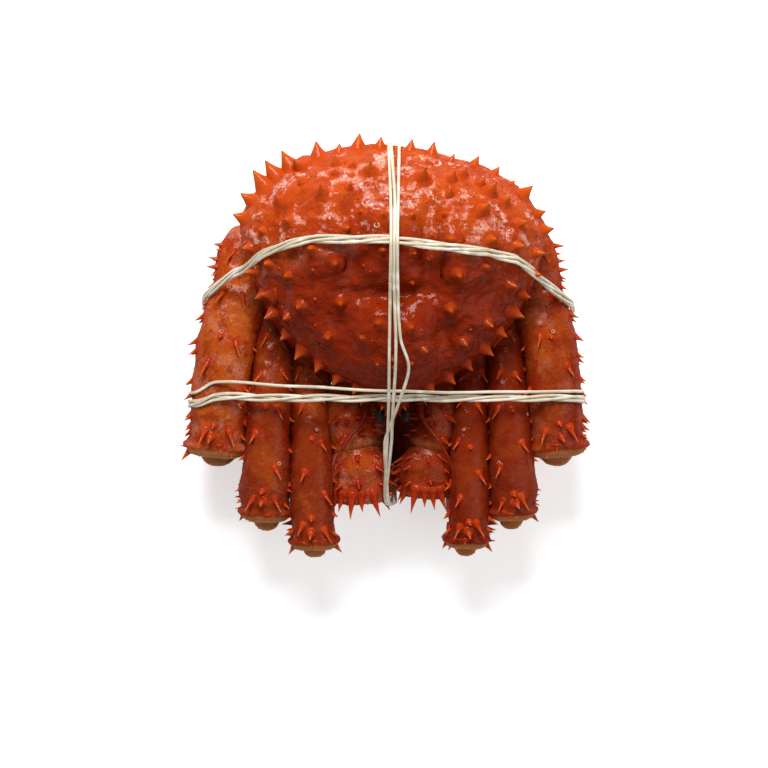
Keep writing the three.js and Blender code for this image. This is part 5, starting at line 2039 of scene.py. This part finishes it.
@dataclass
class Studio:
    """The white table, the soft lights and the camera straight above."""

    view_centre: Place = (-5.5, -63.2)
    view_width: float = 467.0
    focus_height: float = 100.0
    distance: float = 1200.0
    sensor: float = 36.0
    sky: float = 0.24
    # Half the side of the table, and what the lights face, in metres
    table: float = 3.0
    target: tuple[float, float, float] = (0, -0.02, 0.05)

    def build(self, plan: Plan) -> None:
        """Makes the studio.

        Args:
            plan: where the crab lies.
        """
        self.floor()
        self.light("key_light", (-0.15, 1.25, 1.35), 0.8, 43.0)
        self.light("fill_light", (1.2, -0.5, 1.5), 1.6, 8.0)
        scene = bpy.context.scene
        scene.world = bpy.data.worlds.new("studio")
        scene.world.use_nodes = True
        colour, strength = scene.world.node_tree.nodes["Background"].inputs[:2]
        colour.default_value = (1.0, 1.0, 1.0, 1.0)
        strength.default_value = self.sky
        scene.view_settings.view_transform = "Standard"
        self.camera(plan)

    def floor(self) -> None:
        """Makes the white table."""
        corners = np.array([[-1, -1, 0], [1, -1, 0], [1, 1, 0], [-1, 1, 0]]) * self.table
        floor = mesh_object("floor", corners, [(0, 1, 2, 3)])
        floor.data.materials.append(FloorFinish().material())

    def light(self, name: str, place: tuple[float, float, float], size: float, power: float) -> None:
        """Makes a square soft light that faces the crab.

        Args:
            name: its name.
            place: where it hangs, in metres.
            size: its side, in metres.
            power: its power, in watts.
        """
        data = bpy.data.lights.new(name, "AREA")
        data.size = size
        data.energy = power
        lamp = linked(name, data)
        lamp.location = place
        lamp.rotation_euler = (Vector(self.target) - Vector(place)).to_track_quat("-Z", "Y").to_euler()

    def camera(self, plan: Plan) -> None:
        """Makes the camera, straight above with the rear of the crab at the top of the picture.

        Args:
            plan: where the crab lies.
        """
        data = bpy.data.cameras.new("camera")
        data.sensor_width = self.sensor
        data.lens = self.sensor * self.distance / self.view_width
        camera = linked("camera", data)
        camera.location = plan.metres([*self.view_centre, self.focus_height + self.distance])
        bpy.context.scene.camera = camera


# The pale glaze on each shell is partly rime and partly a painted highlight, most of all on the carapace
FINISHES = {
    Slot.CARAPACE: ShellFinish(
        "carapace_finish", deep=(0.30, 0.024, 0.003), body=(0.46, 0.080, 0.010), pale=(0.60, 0.20, 0.07),
        spine=(0.48, 0.056, 0.005), tip=(0.60, 0.12, 0.014), front=(0.20, 0.014, 0.002), frost_and_highlight=0.92,
    ),
    Slot.LEG: ShellFinish(
        "leg_finish", deep=(0.22, 0.012, 0.002), body=(0.40, 0.070, 0.007), pale=(0.50, 0.15, 0.030),
        # The pale point at the spine tips is partly a painted glint
        spine=(0.44, 0.038, 0.004), tip=(0.62, 0.14, 0.035), point=(0.55, 0.34, 0.22), front=(0.15, 0.009, 0.002),
        mottle=0.8, patches=0.55, frost_and_highlight=0.22,
    ),
    Slot.CLAW: ShellFinish(
        "claw_finish", deep=(0.19, 0.011, 0.002), body=(0.34, 0.058, 0.007), pale=(0.42, 0.12, 0.030),
        # The pale point at the spine tips is partly a painted glint
        spine=(0.36, 0.022, 0.003), tip=(0.50, 0.07, 0.015), point=(0.45, 0.26, 0.16), front=(0.14, 0.009, 0.002),
        mottle=0.75, frost_and_highlight=0.18,
    ),
    Slot.BELLY: ShellFinish(
        "belly_finish", deep=(0.48, 0.17, 0.06), body=(0.62, 0.34, 0.18), pale=(0.74, 0.54, 0.38),
        spine=(0.50, 0.16, 0.06), tip=(0.7, 0.4, 0.25), front=(0.34, 0.10, 0.04), frost_and_highlight=0.15,
    ),
    Slot.EYE: CorneaFinish(),
    Slot.FIBRE: FibreFinish(),
}


def main() -> None:
    """Builds the crab piece by piece."""
    logging.basicConfig(level=logging.INFO, format="%(name)s %(message)s")
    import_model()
    plan = Plan.from_frame()
    materials = {slot: finish.material() for slot, finish in FINISHES.items()}
    forms = SpineForms()
    maker = Maker(plan, ShellTree(), forms, materials, np.random.default_rng(SEED))
    Carapace().build(maker)
    Underside().build(maker)
    for side in SIDES:
        for leg in LEG_PLANS:
            WalkingLeg(leg, side).build(maker)
        ClawLeg(side).build(maker)
        Head(side).build(maker)
    Binding(maker).build()
    for form in (forms.spine, forms.grain, forms.stub):
        bpy.data.objects.remove(form)
    Studio().build(plan)


if __name__ == "__main__":
    main()
